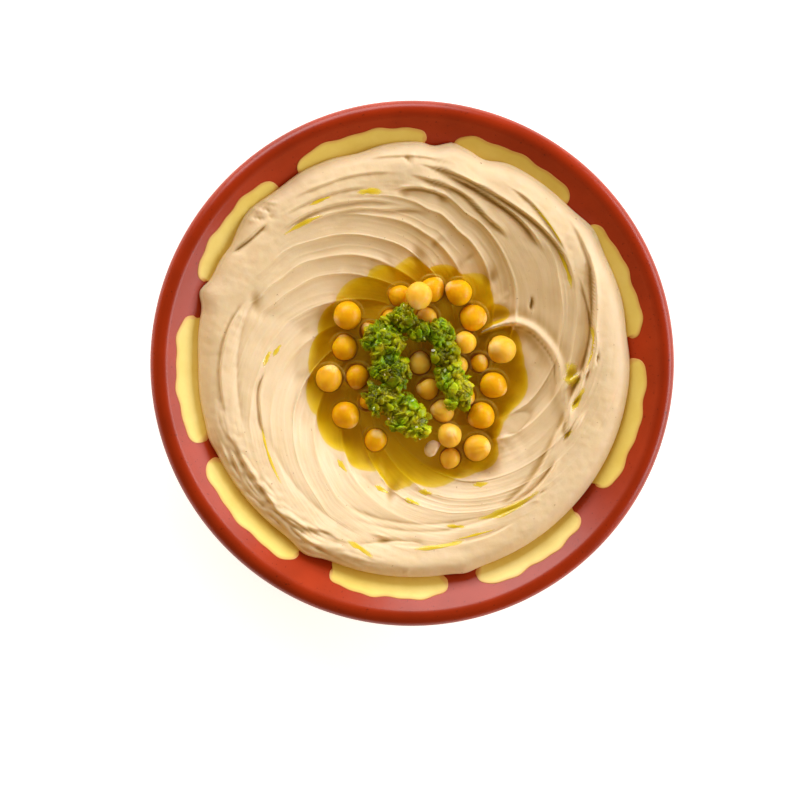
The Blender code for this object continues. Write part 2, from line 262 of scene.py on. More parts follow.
# A hand-thrown rim is never quite even: it wanders by a few hundredths of a millimetre
wander = 0.12 * np.sin(np.radians(2 * azimuths + 40)) + 0.07 * np.sin(np.radians(5 * azimuths + 110))
share = np.clip((section_radius - 80.0) / 20.0, 0.0, 1.0)[:, None]
dish_rings = polar(section_radius[:, None] - share * (0.06 + 0.4 * wander), azimuths, section_height[:, None])


def noise(tree, scale, detail=3.0, roughness=0.5, vector=None):
    """Noise over the piece's own coordinates, or over another vector."""
    place = vector or node(tree, "ShaderNodeTexCoord").outputs["Object"]
    made = node(tree, "ShaderNodeTexNoise",
                {"Vector": place, "Scale": scale, "Detail": detail, "Roughness": roughness})
    return made.outputs["Fac"]


def ramp(tree, factor, *stops):
    """Colour from a factor, by (place, colour) stops."""
    made = node(tree, "ShaderNodeValToRGB", {"Fac": factor})
    for _ in stops[2:]:
        made.color_ramp.elements.new(0.5)
    for element, (place, color) in zip(made.color_ramp.elements, stops):
        element.position = place
        element.color = color
    return made.outputs["Color"]


def blend(tree, factor, first, second, how="MIX"):
    """Mixes two colours."""
    made = node(tree, "ShaderNodeMix", {0: factor, 6: first, 7: second}, data_type="RGBA", blend_type=how)
    return made.outputs[2]


def maths(tree, how, first, second=0.0, third=0.0, clamp=False):
    """One step of arithmetic."""
    made = node(tree, "ShaderNodeMath", {0: first, 1: second, 2: third}, operation=how, use_clamp=clamp)
    return made.outputs[0]


def relief(tree, height, strength, distance):
    """A Bump node's normal."""
    made = node(tree, "ShaderNodeBump", {"Height": height, "Strength": strength, "Distance": distance})
    return made.outputs["Normal"]


def radius_of(tree):
    """Distance from the dish's axis, in metres."""
    place = node(tree, "ShaderNodeSeparateXYZ", {0: node(tree, "ShaderNodeTexCoord").outputs["Object"]})
    flat = node(tree, "ShaderNodeCombineXYZ", {0: place.outputs[0], 1: place.outputs[1]})
    return node(tree, "ShaderNodeVectorMath", {0: flat.outputs[0]}, operation="LENGTH").outputs["Value"]


def glaze_material():
    """Red glaze with painted shade as a darker band over the lip's top, fired a little unevenly; bare clay at the foot.
    """
    made, tree, shader = shaded("red_clay_glaze", IOR=1.45, Specular_IOR_Level=0.36)
    place = node(tree, "ShaderNodeSeparateXYZ", {0: node(tree, "ShaderNodeTexCoord").outputs["Object"]})
    around = maths(tree, "MULTIPLY", radius_of(tree), 10.0)
    # Colour by radius: the darker band from 95 to 97 mm, over the lip's top, is painted shade
    body = ramp(tree, around, (0.86, paint(182, 54, 16)), (0.93, paint(182, 58, 24)), (0.95, paint(164, 42, 6)),
                (0.972, paint(166, 42, 3)), (1.0, paint(172, 50, 12)))
    mottle = ramp(tree, noise(tree, 55.0, 4.0), (0.3, paint(228, 224, 218)), (0.7, paint(255, 255, 255)))
    color = blend(tree, 1.0, body, mottle, "MULTIPLY")
    specks = ramp(tree, noise(tree, 900.0, 2.0), (0.27, paint(90, 30, 14)), (0.33, paint(255, 255, 255)))
    color = blend(tree, 0.5, color, blend(tree, 1.0, color, specks, "MULTIPLY"))
    edge = maths(tree, "MULTIPLY_ADD", noise(tree, 60.0), 0.004, 0.004)
    glazed = maths(tree, "MULTIPLY", maths(tree, "SUBTRACT", place.outputs[2], edge), 2500.0, clamp=True)
    clay = ramp(tree, noise(tree, 260.0, 6.0), (0.3, paint(168, 98, 66)), (0.7, paint(196, 124, 88)))
    tree.links.new(blend(tree, glazed, clay, color), shader.inputs["Base Color"])
    sheen = maths(tree, "MULTIPLY_ADD", noise(tree, 30.0), 0.1, 0.25)
    rough = maths(tree, "MULTIPLY_ADD", maths(tree, "SUBTRACT", 1.0, glazed), 0.55, sheen)
    tree.links.new(rough, shader.inputs["Roughness"])
    tree.links.new(relief(tree, noise(tree, 60.0, 2.0), 0.16, 0.0006), shader.inputs["Normal"])
    return made


glaze = glaze_material()
dish = turned_piece("clay_dish", dish_rings, glaze)
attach(dish, "root")
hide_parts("dish")


# ---------------------------------------------------------------- painted patches
# Nine dabs of yellow slip brushed on the wall before glazing. Each is a thin
# raised layer with a wavy upper edge, and runs down under the hummus.

PATCH_INNER = 75.0
PATCH_THICKNESS = 0.28
# azimuth where it starts and ends, and the radius that it reaches
PATCHES = (
    (6.4, 38.1, 89.5), (46.6, 80.1, 89.5), (86.5, 120.7, 90.2), (127.8, 158.7, 90.6), (167.0, 199.6, 90.5),
    (205.2, 239.1, 89.7), (247.4, 278.5, 89.7), (287.0, 318.2, 90.0), (325.9, 361.1, 89.8),
)


def closed_sheet(name, top, bottom, material, inset=()):
    """A closed body between an upper and a lower grid of points that have the same shape.

    Faces: the upper grid's cells, the lower grid's cells turned over, and a strip round the border.
    """
    rows, columns = top.shape[:2]
    index = np.arange(rows * columns).reshape(rows, columns)
    cells = np.stack([index[:-1, :-1], index[1:, :-1], index[1:, 1:], index[:-1, 1:]], axis=-1).reshape(-1, 4)
    below = cells[:, ::-1] + rows * columns
    border = np.concatenate([index[:, 0], index[-1, 1:], index[-2::-1, -1], index[0, -2:0:-1]])
    after = np.roll(border, -1)
    strip = np.stack([border, border + rows * columns, after + rows * columns, after], axis=-1)
    faces = np.concatenate([cells, below, strip]).tolist()
    return new_piece(name, np.concatenate([top.reshape(-1, 3), bottom.reshape(-1, 3)]), faces, material)


def join(pieces, name):
    """Joins pieces into one object with that name."""
    for piece in bpy.context.selected_objects:
        piece.select_set(False)
    for piece in pieces:
        piece.select_set(True)
    bpy.context.view_layer.objects.active = pieces[0]
    bpy.ops.object.join()
    pieces[0].name = name
    pieces[0].data.name = name
    return pieces[0]


def slip_patch(number, start, end, reach, material):
    """One patch on a grid: u runs round the dish, v from under the hummus up to the outline.

    The outline is a squared-off arch, 1 - |u|^6 to the power 1/3.2, times the reach, with two or three low waves.
    """
    u = np.sin(np.linspace(-0.5, 0.5, 97) * math.pi)[None, :]
    v = np.sin(np.linspace(0.0, 0.5, 25) * math.pi)[:, None]
    middle, half = (start + end) / 2, (end - start) / 2
    arch = (1.0 - np.abs(u) ** 6) ** (1 / 3.2)
    waves = 0.33 * np.sin(2.6 * math.pi * u + 1.7 * number) + 0.2 * np.sin(5.1 * math.pi * u + 2.9 * number)
    outer = PATCH_INNER + (reach - PATCH_INNER) * (0.62 + 0.38 * arch) * (arch > 0) + waves * arch
    outer = np.where(arch > 0, outer, PATCH_INNER + (reach - PATCH_INNER) * 0.62)
    lean = 0.6 * np.sin(3.1 * number + 9.0 * v)
    radius = PATCH_INNER + (outer - PATCH_INNER) * v
    azimuth = middle + half * u * (1.0 - 0.03 * np.sin(math.pi * v)) + lean * np.abs(u) ** 3
    inward = np.minimum((1.0 - np.abs(u)) * half * 1.5, outer - radius)
    rounding = np.sqrt(1.0 - (1.0 - np.clip(inward / 0.5, 0.0, 1.0)) ** 2)
    wall = wall_height(radius)
    top = polar(radius, azimuth, wall - 0.05 + (PATCH_THICKNESS + 0.05) * rounding)
    bottom = polar(radius, azimuth, wall - 0.5)
    piece = closed_sheet(f"patch_{number}", top, bottom, material)
    thick = np.concatenate([np.clip(inward / 1.3, 0, 1).ravel(), np.zeros(top.shape[0] * top.shape[1])])
    piece.data.attributes.new("thick", "FLOAT", "POINT").data.foreach_set("value", thick.astype(np.float32))
    return piece


def slip_material():
    """Yellow slip under clear glaze: even in the middle, thin and more orange along its edge."""
    made, tree, shader = shaded("yellow_slip", IOR=1.45, Specular_IOR_Level=0.36)
    thick = node(tree, "ShaderNodeAttribute", attribute_name="thick").outputs["Fac"]
    streaks = noise(tree, 70.0, 5.0, 0.6)
    middle = ramp(tree, streaks, (0.3, paint(238, 204, 98)), (0.55, paint(244, 214, 114)), (0.8, paint(249, 222, 130)))
    color = blend(tree, thick, paint(226, 164, 92), middle)
    tree.links.new(color, shader.inputs["Base Color"])
    rough = maths(tree, "MULTIPLY_ADD", noise(tree, 40.0), 0.15, 0.26)
    tree.links.new(rough, shader.inputs["Roughness"])
    tree.links.new(relief(tree, noise(tree, 160.0, 3.0), 0.25, 0.0005), shader.inputs["Normal"])
    return made


slip = slip_material()
patches = join([slip_patch(number, *spot, slip) for number, spot in enumerate(PATCHES)], "yellow_patches")
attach(patches, "root")


# ---------------------------------------------------------------- hummus
# A smooth chickpea paste, swept round with the back of a spoon: scalloped
# strokes climb out of the well and lie down into long folds on the ring.
# It replaces the faceted hummus.

OIL_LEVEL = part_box("olive_oil")[1].z * 1000.0
WELL_RADIUS, WELL_SHIFT, WELL_SHIFT_AT = 44.0, 5.3, 290.0
EDGE_RADIUS, EDGE_SHIFT, EDGE_SHIFT_AT = 83.4, 1.6, 75.0
CREST_SHIFT, CREST_SHIFT_AT = 0.09, 70.0
SEAT_GAP = 0.45
# Azimuths, on the well's edge, of the crests between the spoon's strokes
CRESTS = (24.0, 42.5, 64.0, 83.5, 103.0, 118.5, 143.0, 168.0, 191.0, 213.0, 239.0, 259.0, 276.0, 293.0, 326.0,
          342.0)
# Spread over the hummus (-1 the middle, 0 the well's edge, 1 the outer edge) and height there
SPREAD = (
    (-1.0, 13.3), (-0.45, 13.4), (-0.3, 14.0), (-0.18, 15.6), (-0.08, 18.0), (0.0, 20.5), (0.1, 22.9),
    (0.2, 25.0), (0.31, 27.0), (0.42, 28.8), (0.53, 30.4), (0.64, 31.6), (0.76, 32.2), (0.88, 31.4), (1.0, 28.6),
)
# Places where the outer edge bulges or draws back: azimuth, millimetres and half width in degrees
EDGE_BUMPS = (
    (37, 1.6, 5), (71, -2.2, 4), (80, 0.9, 2), (85, -1.2, 2.4), (105, -1.5, 6), (121, 0.4, 4), (137, 1.7, 5.5),
    (147, -0.8, 3), (161, 2.5, 2.8), (180, -0.8, 8), (200, 0.7, 3), (240, 1.9, 4), (284, 0.9, 3), (8, -0.9, 6),
)


def edge_radius(azimuth):
    """Radius of the outer edge: a shifted circle with the bumps added as bell curves."""
    radius = EDGE_RADIUS + EDGE_SHIFT * np.cos(np.radians(azimuth - EDGE_SHIFT_AT))
    for spot, size, width in EDGE_BUMPS:
        away = np.mod(azimuth - spot + 180.0, 360.0) - 180.0
        radius = radius + size * np.exp(-(away / width) ** 2)
    return radius


def well_radius(azimuth):
    """Radius at which the hummus crosses the oil's level, strokes apart."""
    return WELL_RADIUS + WELL_SHIFT * np.cos(np.radians(azimuth - WELL_SHIFT_AT))


def radius_at(spread, azimuth):
    """Radius for a place on the spread: -1 the middle, 0 the well's edge, 1 the outer edge."""
    well = well_radius(azimuth)
    return np.where(spread < 0.0, well * (1.0 + spread), well + (edge_radius(azimuth) - well) * spread)


def spread_at(radius, azimuth):
    """The inverse of radius_at."""
    well = well_radius(azimuth)
    return np.where(radius < well, radius / well - 1.0, (radius - well) / (edge_radius(azimuth) - well))


def twist(spread):
    """Degrees by which the strokes turn on their way out from the well's edge."""
    return 75.0 * spread + 40.0 * spread * np.abs(spread)


def stroke_phase(azimuth):
    """Counts the strokes round the well: whole numbers lie on crests."""
    crests = np.array(CRESTS + (CRESTS[0] + 360.0,))
    turned_to = crests[0] + np.mod(azimuth - crests[0], 360.0)
    return np.interp(turned_to, crests, np.arange(len(crests), dtype=float))


def scallops(spread, azimuth):
    """Hollows between sharp crests: steep on the inner side of a crest, gentle behind it."""
    phase = stroke_phase(azimuth - twist(spread))
    within = np.mod(phase, 1.0)
    number = np.floor(phase)
    size = 1.0 + 0.35 * np.sin(number * 2.4 + 0.6)
    shape = np.exp(-within / 0.10) + np.exp(-(1.0 - within) / 0.34) * (1.0 - np.exp(-within / 0.05)) - 0.42
    # Fainter steps run along inside each stroke, where the spoon's edge chattered
    lesser = np.mod(2.7 * phase + 0.5 * np.sin(2.1 * phase + 3.0 * spread), 1.0)
    steps = (np.exp(-lesser / 0.16) + np.exp(-(1.0 - lesser) / 0.4) - 0.5) * (0.5 + 0.5 * np.sin(3.3 * phase + 5 * spread))
    shape = shape + 0.26 * steps * np.interp(spread, (-0.05, 0.12), (0.0, 1.0))
    depth = flow(spread, (-1, -0.5, -0.2, 0.0, 0.2, 0.42, 0.6, 0.72, 1.0), (0, 0.0, 0.7, 1.0, 0.9, 0.75, 0.3, 0, 0))
    calm = 1.0 - 0.75 * np.interp(spread, (0.02, 0.2), (0.0, 1.0)) * (
        0.5 + 0.5 * np.cos(np.radians(azimuth - 262.0))) ** 0.8
    return 1.8 * depth * calm * size * shape


FOLD_DEPTH = 1.8
# Folds on the ring. Each follows its azimuth and radius points. Across it, the surface is pressed down
# on the inner side and stands up on the outer side, both fading away over the reaches.
FOLDS = (
    # inner press, outer rise, edge, inner reach, outer reach, path
    (0.5, 0.5, 0.45, 2.2, 2.4, ((-12, 65.6), (0, 68), (10, 69.8), (20, 73.5), (30, 77.4), (40, 80.3), (46, 81.6))),
    (1.6, 0.8, 0.28, 1.8, 1.8, ((-17, 62.8), (-8, 64.0), (-2.6, 65.3), (3.5, 67.1), (9.3, 69.2), (16.2, 71.5),
                                (22.7, 74.4), (28.9, 77.4), (34, 79.6))),
    (1.3, 0.8, 0.3, 1.7, 2.2, ((22, 66.9), (26, 68.1), (34, 70.3), (49, 71.2), (59, 71.2), (69, 72), (80, 74.3),
                               (90, 76.2))),
    (0.5, 0.4, 0.3, 1.2, 1.6, ((36, 71.6), (46, 73.9), (54, 75.8), (62, 76.8))),
    (1.9, 0.9, 0.26, 1.7, 1.2, ((40, 65.2), (49, 67.5), (57, 68.8), (64, 69.6), (71, 71), (82, 73.6))),
    (0.9, 0.8, 0.35, 1.6, 1.8, ((52, 59.6), (56, 61), (64, 62.8), (69, 65.1), (74, 67.5), (85, 70.2), (92, 72.2))),
    (1.3, 0.8, 0.3, 1.7, 1.2, ((77, 64.2), (84, 66.3), (91, 67.2), (97, 66.6))),
    (0.5, 0.5, 0.4, 1.5, 1.8, ((84, 58.4), (92, 59.2), (100, 59.7), (108, 62.0), (122, 66.0), (132, 68.0))),
    (0.7, 0.5, 0.4, 1.5, 1.6, ((96, 61.4), (104, 64.0), (112, 66.2), (124, 69.6), (136, 71.6))),
    (0.9, 0.2, 0.35, 1.5, 1.5, ((136, 77.2), (138, 77.7), (143, 78.7), (149, 81.4))),
    (0.25, 0.3, 0.4, 1.4, 1.6, ((94, 72.6), (100, 73.8), (108, 75.2), (118, 76.4), (128, 78.4))),
    (0.3, 0.25, 0.4, 1.2, 1.5, ((104, 69.4), (112, 71.2), (122, 73.2), (132, 75.0))),
    (0.25, 0.3, 0.4, 1.2, 1.5, ((78, 77.4), (86, 78.6), (96, 79.4), (104, 80.0))),
    (0.6, -0.6, 1.1, 2.2, 2.2, ((150, 62.6), (155, 64.3), (162, 66.3), (170, 66.8), (190, 67.9), (204, 69.6))),
    (-0.4, -0.5, 0.35, 1.8, 2.0, ((158, 68.0), (168, 71.4), (180, 73.6), (196, 74.2))),
    (-0.5, -0.5, 0.3, 1.5, 1.8, ((182, 56.6), (190, 59.9), (197, 61.5), (206, 63.4))),
    (0.5, -0.4, 0.8, 2.0, 2.4, ((202, 60.6), (215, 63.2), (235, 66), (248, 67.9), (256, 69.2))),
    (0.35, -0.5, 0.4, 1.6, 1.5, ((240, 59.2), (246, 59.8), (271, 61.3), (291, 63.6), (300, 65.4))),
    (0.4, -0.4, 0.5, 1.2, 1.5, ((246, 63.0), (262, 63.6), (280, 65.0), (292, 66.8))),
    (-0.45, -0.5, 0.5, 2.4, 4.6, ((196, 77.4), (200, 75.9), (205, 74.6), (212, 75.2), (220, 74.8), (227, 76.4),
                                  (233, 76), (238, 73.6), (242, 72.1), (247, 72.7), (253, 71.0))),
    (0.6, -0.4, 0.35, 1.5, 1.6, ((250, 72.8), (256, 70.4), (262, 68.4), (270, 68.2), (276, 70.4))),
    (0.45, 0.3, 0.4, 1.6, 1.6, ((262, 69.5), (280, 70.2), (296, 71.6), (304, 71.6))),
    (0.6, -0.1, 0.35, 1.4, 1.5, ((276, 64.6), (290, 65.6), (304, 67.4), (316, 69.6))),
    (0.7, 0.6, 0.3, 1.6, 2.0, ((300, 64.8), (312, 66.6), (320, 66.6), (328, 66.0))),
    (1.0, 0.8, 0.3, 1.6, 1.6, ((333, 65.1), (338, 63.2), (345, 62.2), (352, 63.2), (358, 65.6))),
    (0.5, 0.9, 0.45, 2.5, 2.0, ((300, 64.4), (308, 64.2), (314, 63.8), (320, 63.0), (328, 61.8), (334, 61.2),
                                (339, 61.6), (344, 61.2), (350, 59.2), (356, 57.2))),
    (0.9, 0.4, 0.25, 1.5, 1.5, ((-6, 64.4), (-2, 65.6), (2, 67.6), (6, 69.5), (14, 70.2), (22, 70.8), (28, 71.4))),
)
TAIL = ((339.7, 64.0), (343.9, 61.1), (349.2, 57.9), (354.4, 56.7), (359.7, 56.0), (365.3, 54.0), (371.1, 51.1),
        (376.8, 47.8), (382.0, 42.7), (384.3, 35.7), (384.6, 29.5))


def across(radius, azimuth, path):
    """Distance outwards from a path, and how far along it a point lies, 0 to 1 and beyond at the ends."""
    spots, reaches = np.array(path, float).T
    turn = spots.mean()
    around = np.mod(azimuth - turn + 180.0, 360.0) - 180.0 + turn
    step = 0.5
    line = flow(around, spots, reaches)
    slope = (flow(around + step, spots, reaches) - flow(around - step, spots, reaches)) / (
        np.radians(2 * step) * np.maximum(line, 20.0))
    return (radius - line) / np.sqrt(1.0 + slope ** 2), (around - spots[0]) / (spots[-1] - spots[0])


def fold(radius, azimuth, press, rise, edge, inner_reach, outer_reach, path):
    """A crease: down by the press just inside the path, up by the rise just outside, faded along its ends."""
    away, along = across(radius, azimuth, path)
    outside = 0.5 + 0.5 * np.tanh(away / edge)
    ends = np.clip(np.minimum(along, 1.0 - along) / 0.22, 0.0, 1.0)
    ends = ends * ends * (3.0 - 2.0 * ends)
    stands = rise * outside * np.exp(-np.clip(away, 0, None) / outer_reach)
    pressed = press * (1.0 - outside) * np.exp(np.clip(away, None, 0) / inner_reach)
    return FOLD_DEPTH * ends * (stands - pressed)


def tail_ridge(radius, azimuth):
    """The lip that the spoon pulled up as it left: a ridge that narrows to a point over the oil.

    Its height falls off with the distance from a smooth line through TAIL's points, and a groove follows it inside.
    """
    knots = np.arange(len(TAIL), dtype=float)
    steps = np.linspace(0.0, knots[-1], 64)
    bends, reaches = (flow(steps, knots, values) for values in np.array(TAIL, float).T)
    line_x, line_y = reaches * np.cos(np.radians(bends)), reaches * np.sin(np.radians(bends))
    x, y = radius * np.cos(np.radians(azimuth)), radius * np.sin(np.radians(azimuth))
    nearest, along, side = np.full(np.shape(x), 99.0), np.zeros(np.shape(x)), np.ones(np.shape(x))
    for i in range(len(steps) - 1):
        run_x, run_y = line_x[i + 1] - line_x[i], line_y[i + 1] - line_y[i]
        part = np.clip(((x - line_x[i]) * run_x + (y - line_y[i]) * run_y) / (run_x ** 2 + run_y ** 2), 0.0, 1.0)
        off_x, off_y = x - line_x[i] - part * run_x, y - line_y[i] - part * run_y
        away = np.hypot(off_x, off_y)
        closer = away < nearest
        nearest = np.where(closer, away, nearest)
        along = np.where(closer, (i + part) / (len(steps) - 1), along)
        side = np.where(closer, np.sign(run_x * off_y - run_y * off_x), side)
    width = np.interp(along, (0.0, 0.4, 0.85, 1.0), (1.6, 2.2, 1.7, 0.9))
    height = np.interp(along, (0.0, 0.12, 0.4, 0.72, 0.82, 0.9, 1.0), (0.0, 1.1, 2.3, 2.8, 3.6, 6.0, 8.4))
    groove = np.exp(-((side * nearest - 1.5) / 0.45) ** 2) * np.interp(along, (0.2, 0.35, 0.8, 0.88), (0, 1, 1, 0))
    return height * np.exp(-(nearest / width) ** 1.6) - 0.9 * groove


# Single marks: azimuth, radius, direction of the long side, half length, half width and height
MARKS = (
    (26.8, 51.5, 88, 1.7, 0.45, -3.4), (25.6, 50.6, 60, 0.6, 0.6, -0.6),
    (92.0, 78.0, 128, 2.0, 0.7, -0.7), (90.5, 79.4, 128, 1.6, 0.8, 0.4),
    (131.5, 82.2, 165, 2.2, 0.5, 0.8), (133.5, 80.6, 155, 2.0, 0.5, -0.8), (135.2, 83.0, 160, 2.2, 0.5, 0.9),
    (136.6, 80.8, 170, 1.8, 0.6, -0.7), (138.4, 82.6, 172, 1.8, 0.6, 0.6), (134.0, 78.0, 150, 1.5, 0.7, -0.5),
    (326.0, 49.5, 95, 5.5, 2.0, -0.7), (322.0, 52.5, 95, 5.5, 1.8, 0.6), (318.0, 46.5, 60, 3.0, 1.6, 0.4),
    (356.3, 64.2, 41, 5.4, 0.8, 1.5), (356.0, 61.0, 20, 2.0, 1.5, -0.8), (346.5, 64.0, 60, 2.6, 0.9, -1.9),
    (335.5, 65.0, 66, 2.0, 0.7, -1.5), (341.0, 67.0, 60, 4.5, 0.8, 0.9), (2.0, 70.4, 75, 1.6, 0.5, -0.9),
    (315.0, 69.2, 30, 1.4, 0.5, -0.5), (312.0, 70.2, 10, 1.2, 0.5, 0.4), (268.0, 79.0, 60, 1.2, 0.7, 0.6),
    (205.0, 79.6, 110, 4.0, 0.8, 0.8), (209.0, 78.4, 112, 4.0, 0.7, -0.7), (243.0, 79.2, 150, 3.2, 0.7, -0.8),
    (240.0, 77.8, 150, 3.4, 0.9, 0.8), (260.0, 69.0, 160, 3.2, 1.4, -0.8), (259.0, 66.6, 165, 3.4, 0.7, 0.5),
    (158.5, 64.8, 100, 4.0, 2.0, -0.7), (164.0, 68.6, 90, 1.0, 0.8, 0.3), (128.0, 45.6, 60, 1.4, 0.5, 0.4),
    (62.0, 46.4, 40, 2.2, 0.9, -0.5), (79.0, 48.0, 40, 2.6, 1.2, -0.5), (78.0, 50.4, 40, 2.2, 1.2, 0.5),
)


def mark(radius, azimuth, spot, reach, direction, length, width, height):
    """A dent or a bump: a bell curve, longer one way than the other."""
    x, y = radius * np.cos(np.radians(azimuth)), radius * np.sin(np.radians(azimuth))
    turn = math.radians(direction)
    dx, dy = x - reach * math.cos(math.radians(spot)), y - reach * math.sin(math.radians(spot))
    along = dx * math.cos(turn) + dy * math.sin(turn)
    aside = dy * math.cos(turn) - dx * math.sin(turn)
    return height * np.exp(-(along / length) ** 2 - (aside / width) ** 2)


def waves(rng, a, b, count, low, high):
    """Smooth random relief over two coordinates: a sum of sines in random directions, about -1 to 1."""
    total = np.zeros(np.shape(a))
    for _ in range(count):
        size, lean, start = rng.uniform(low, high), rng.uniform(0, 2 * math.pi), rng.uniform(0, 2 * math.pi)
        total = total + np.sin(size * (a * math.cos(lean) + b * math.sin(lean)) + start)
    return total / math.sqrt(count)


def swept_height(radius, azimuth):
    """The spread's section, the scallops, the folds, the tail and the marks."""
    spread = spread_at(radius, azimuth)
    rise = np.sin(np.pi * np.clip(spread, 0.0, 1.0))
    leaning = spread - CREST_SHIFT * np.cos(np.radians(azimuth - CREST_SHIFT_AT)) * rise
    height = flow(leaning, *zip(*SPREAD)) + scallops(spread, azimuth)
    flatter = np.exp(-((np.mod(azimuth, 360.0) - 254.0) / 54.0) ** 2)
    height = height + flatter * flow(spread, (-1.0, 0.1, 0.4, 0.66, 0.88, 1.0), (0.0, -0.1, -2.3, -1.6, 1.6, 1.3))
    for shape in FOLDS:
        height = height + fold(radius, azimuth, *shape)
    for shape in MARKS:
        height = height + mark(radius, azimuth, *shape)
    rng = np.random.default_rng(7)
    drag = np.radians(azimuth - twist(np.clip(spread, -0.3, 0.7)))
    fine = waves(rng, drag * 50.0, spread * 18.0, 24, 0.8, 2.6)
    x, y = radius * np.cos(np.radians(azimuth)), radius * np.sin(np.radians(azimuth))
    lumps = waves(rng, x, y, 24, 0.15, 0.5)
    rough_side = np.exp(-((np.mod(azimuth, 360.0) - 226.0) / 26.0) ** 2) * np.interp(radius, (70, 75, 82), (0, 1, 0.6))
    torn = waves(rng, np.radians(np.mod(azimuth, 360.0)) * 78.0 * 0.35, radius * 1.3, 30, 0.5, 1.8)
    height = height + 0.42 * rough_side * (np.abs(torn) - 0.6)
    crumble = waves(rng, x, y, 30, 0.9, 2.4) * (0.04 + 0.16 * rough_side)
    return height + 0.02 * fine + 0.10 * lumps * np.interp(spread, (-0.4, 0.0, 0.5), (0, 0.5, 1)) + crumble * (
        np.interp(spread, (0.2, 0.7), (0.2, 1.0)))


# Where the oil's edge runs: azimuth and radius. The bays are the ends of the strokes.
SHORE = (
    (7, 43.1), (14, 43.0), (19, 42.4), (22, 41.4), (24, 41.6), (28, 43.0), (32, 42.2), (36, 39.3), (43, 41.7), (49, 44.5),
    (55, 43.2), (61, 39.6), (68, 40.9), (74, 40.2), (80, 37.5), (90, 41.8), (101, 38.0), (111, 40.9), (118, 38.2),
    (129, 40.6), (142, 38.5), (152, 40.0), (163, 38.4), (175, 40.2), (186, 39.8), (198, 43.2), (209, 42.5), (222, 45.5),
    (233, 43.1), (240, 46.1), (252, 43.7), (256, 46.0), (260, 49.7), (265, 48.4), (272, 46.3), (281, 49.1), (291, 47.9),
    (300, 49.0), (309, 50.6), (314, 48.6), (319, 43.7), (327, 42.4), (335, 42.8), (345, 45.9), (353, 45.4), (359, 43.7),
)
SHORE_BLEND = 3.6
shore_turns, shore_reach = np.array(SHORE, float).T


def shore_at(azimuth):
    """Radius of the shore: straight from point to point, each stretch bowed out by half a millimetre."""
    step = np.interp(azimuth, np.append(shore_turns, shore_turns[0] + 360.0), np.arange(len(SHORE) + 1.0), period=None)
    part = np.mod(step, 1.0)
    return np.interp(azimuth, shore_turns, shore_reach, period=360.0) + 2.0 * part * (1.0 - part)


lift_turns = np.arange(shore_turns[0], shore_turns[0] + 360.0, 1.0)
shore_lift = OIL_LEVEL - swept_height(shore_at(lift_turns), lift_turns)
shore_lift = np.mean([np.roll(shore_lift, shift) for shift in (-2, -1, 0, 1, 2)], axis=0)


def hummus_height(radius, azimuth):
    """Height of the upper surface: the swept height, led through the oil's level at the shore, and the tail."""
    turned = shore_turns[0] + np.mod(azimuth - shore_turns[0], 360.0)
    away = radius - shore_at(turned)
    lift = np.interp(turned, lift_turns, shore_lift, period=360.0)
    height = swept_height(radius, azimuth) + lift * np.exp(-(away / SHORE_BLEND) ** 2)
    bank = OIL_LEVEL + 0.2 * away
    height = np.where((away > 0.0) & (away < 12.0), np.maximum(height, bank), height)
    height = np.where(away <= 0.0, np.minimum(height, bank), height)
    return height + tail_ridge(radius, azimuth)


HUMMUS_MERIDIANS = 496
well_steps = np.concatenate([np.linspace(0.0, 30.0, 14)[:-1], np.linspace(30.0, 46.0, 30)[:-1]]) / 46.0 - 1.0
ring_steps = np.concatenate([np.linspace(0.0, 0.5, 42)[:-1], np.linspace(0.5, 0.97, 74)])
spreads = np.concatenate([well_steps, ring_steps])[:, None]
phases = np.arange(HUMMUS_MERIDIANS) * len(CRESTS) / HUMMUS_MERIDIANS
starts = np.interp(phases, np.arange(len(CRESTS) + 1), CRESTS + (CRESTS[0] + 360.0,))[None, :]
HELD = 0.62   # past this spread the mesh's meridians stop turning
turning = starts + twist(np.minimum(spreads, HELD))
top_radius = radius_at(spreads, turning)
top_height = hummus_height(top_radius, turning)
top_rings = polar(top_radius, turning, top_height)
# How deep a point lies in a crease, against the mean of the points round it: 1 is 0.7 mm. It sets the painted shade in
# the creases.
around_it = [np.roll(top_height, (row, column), axis=(0, 1)) for row in range(-4, 5, 2) for column in range(-3, 4)]
crease = np.clip((np.mean(around_it, axis=0) - top_height) / 0.7, 0.0, 1.0)
crease[:5] = crease[-5:] = 0.0
# The outer edge: a blunt rounded brim that stands on the wall, then the underside back to the middle
rim_turn = starts[0] + twist(HELD)
rim_radius = radius_at(0.97, rim_turn)
rim_height = hummus_height(rim_radius, rim_turn)
edge_reach = edge_radius(rim_turn)
seat = wall_height(edge_reach) + 0.12
brim = []
for part in np.linspace(0.12, 1.0, 9):
    bend = part * math.pi / 2
    brim.append(polar(rim_radius + (edge_reach - rim_radius) * math.sin(bend), rim_turn,
                      seat + (rim_height - seat) * math.cos(bend)))
under = []
for part in (0.985, 0.9, 0.6, 0.25, -0.1, -0.999):
    below = radius_at(part, rim_turn)
    under.append(polar(below, rim_turn, wall_height(below) + 0.12 + 0.33 * min(1.0, (1.0 - part) * 8)))
hummus_rings = np.concatenate([np.array(under)[::-1], np.array(brim)[::-1], top_rings[::-1]])


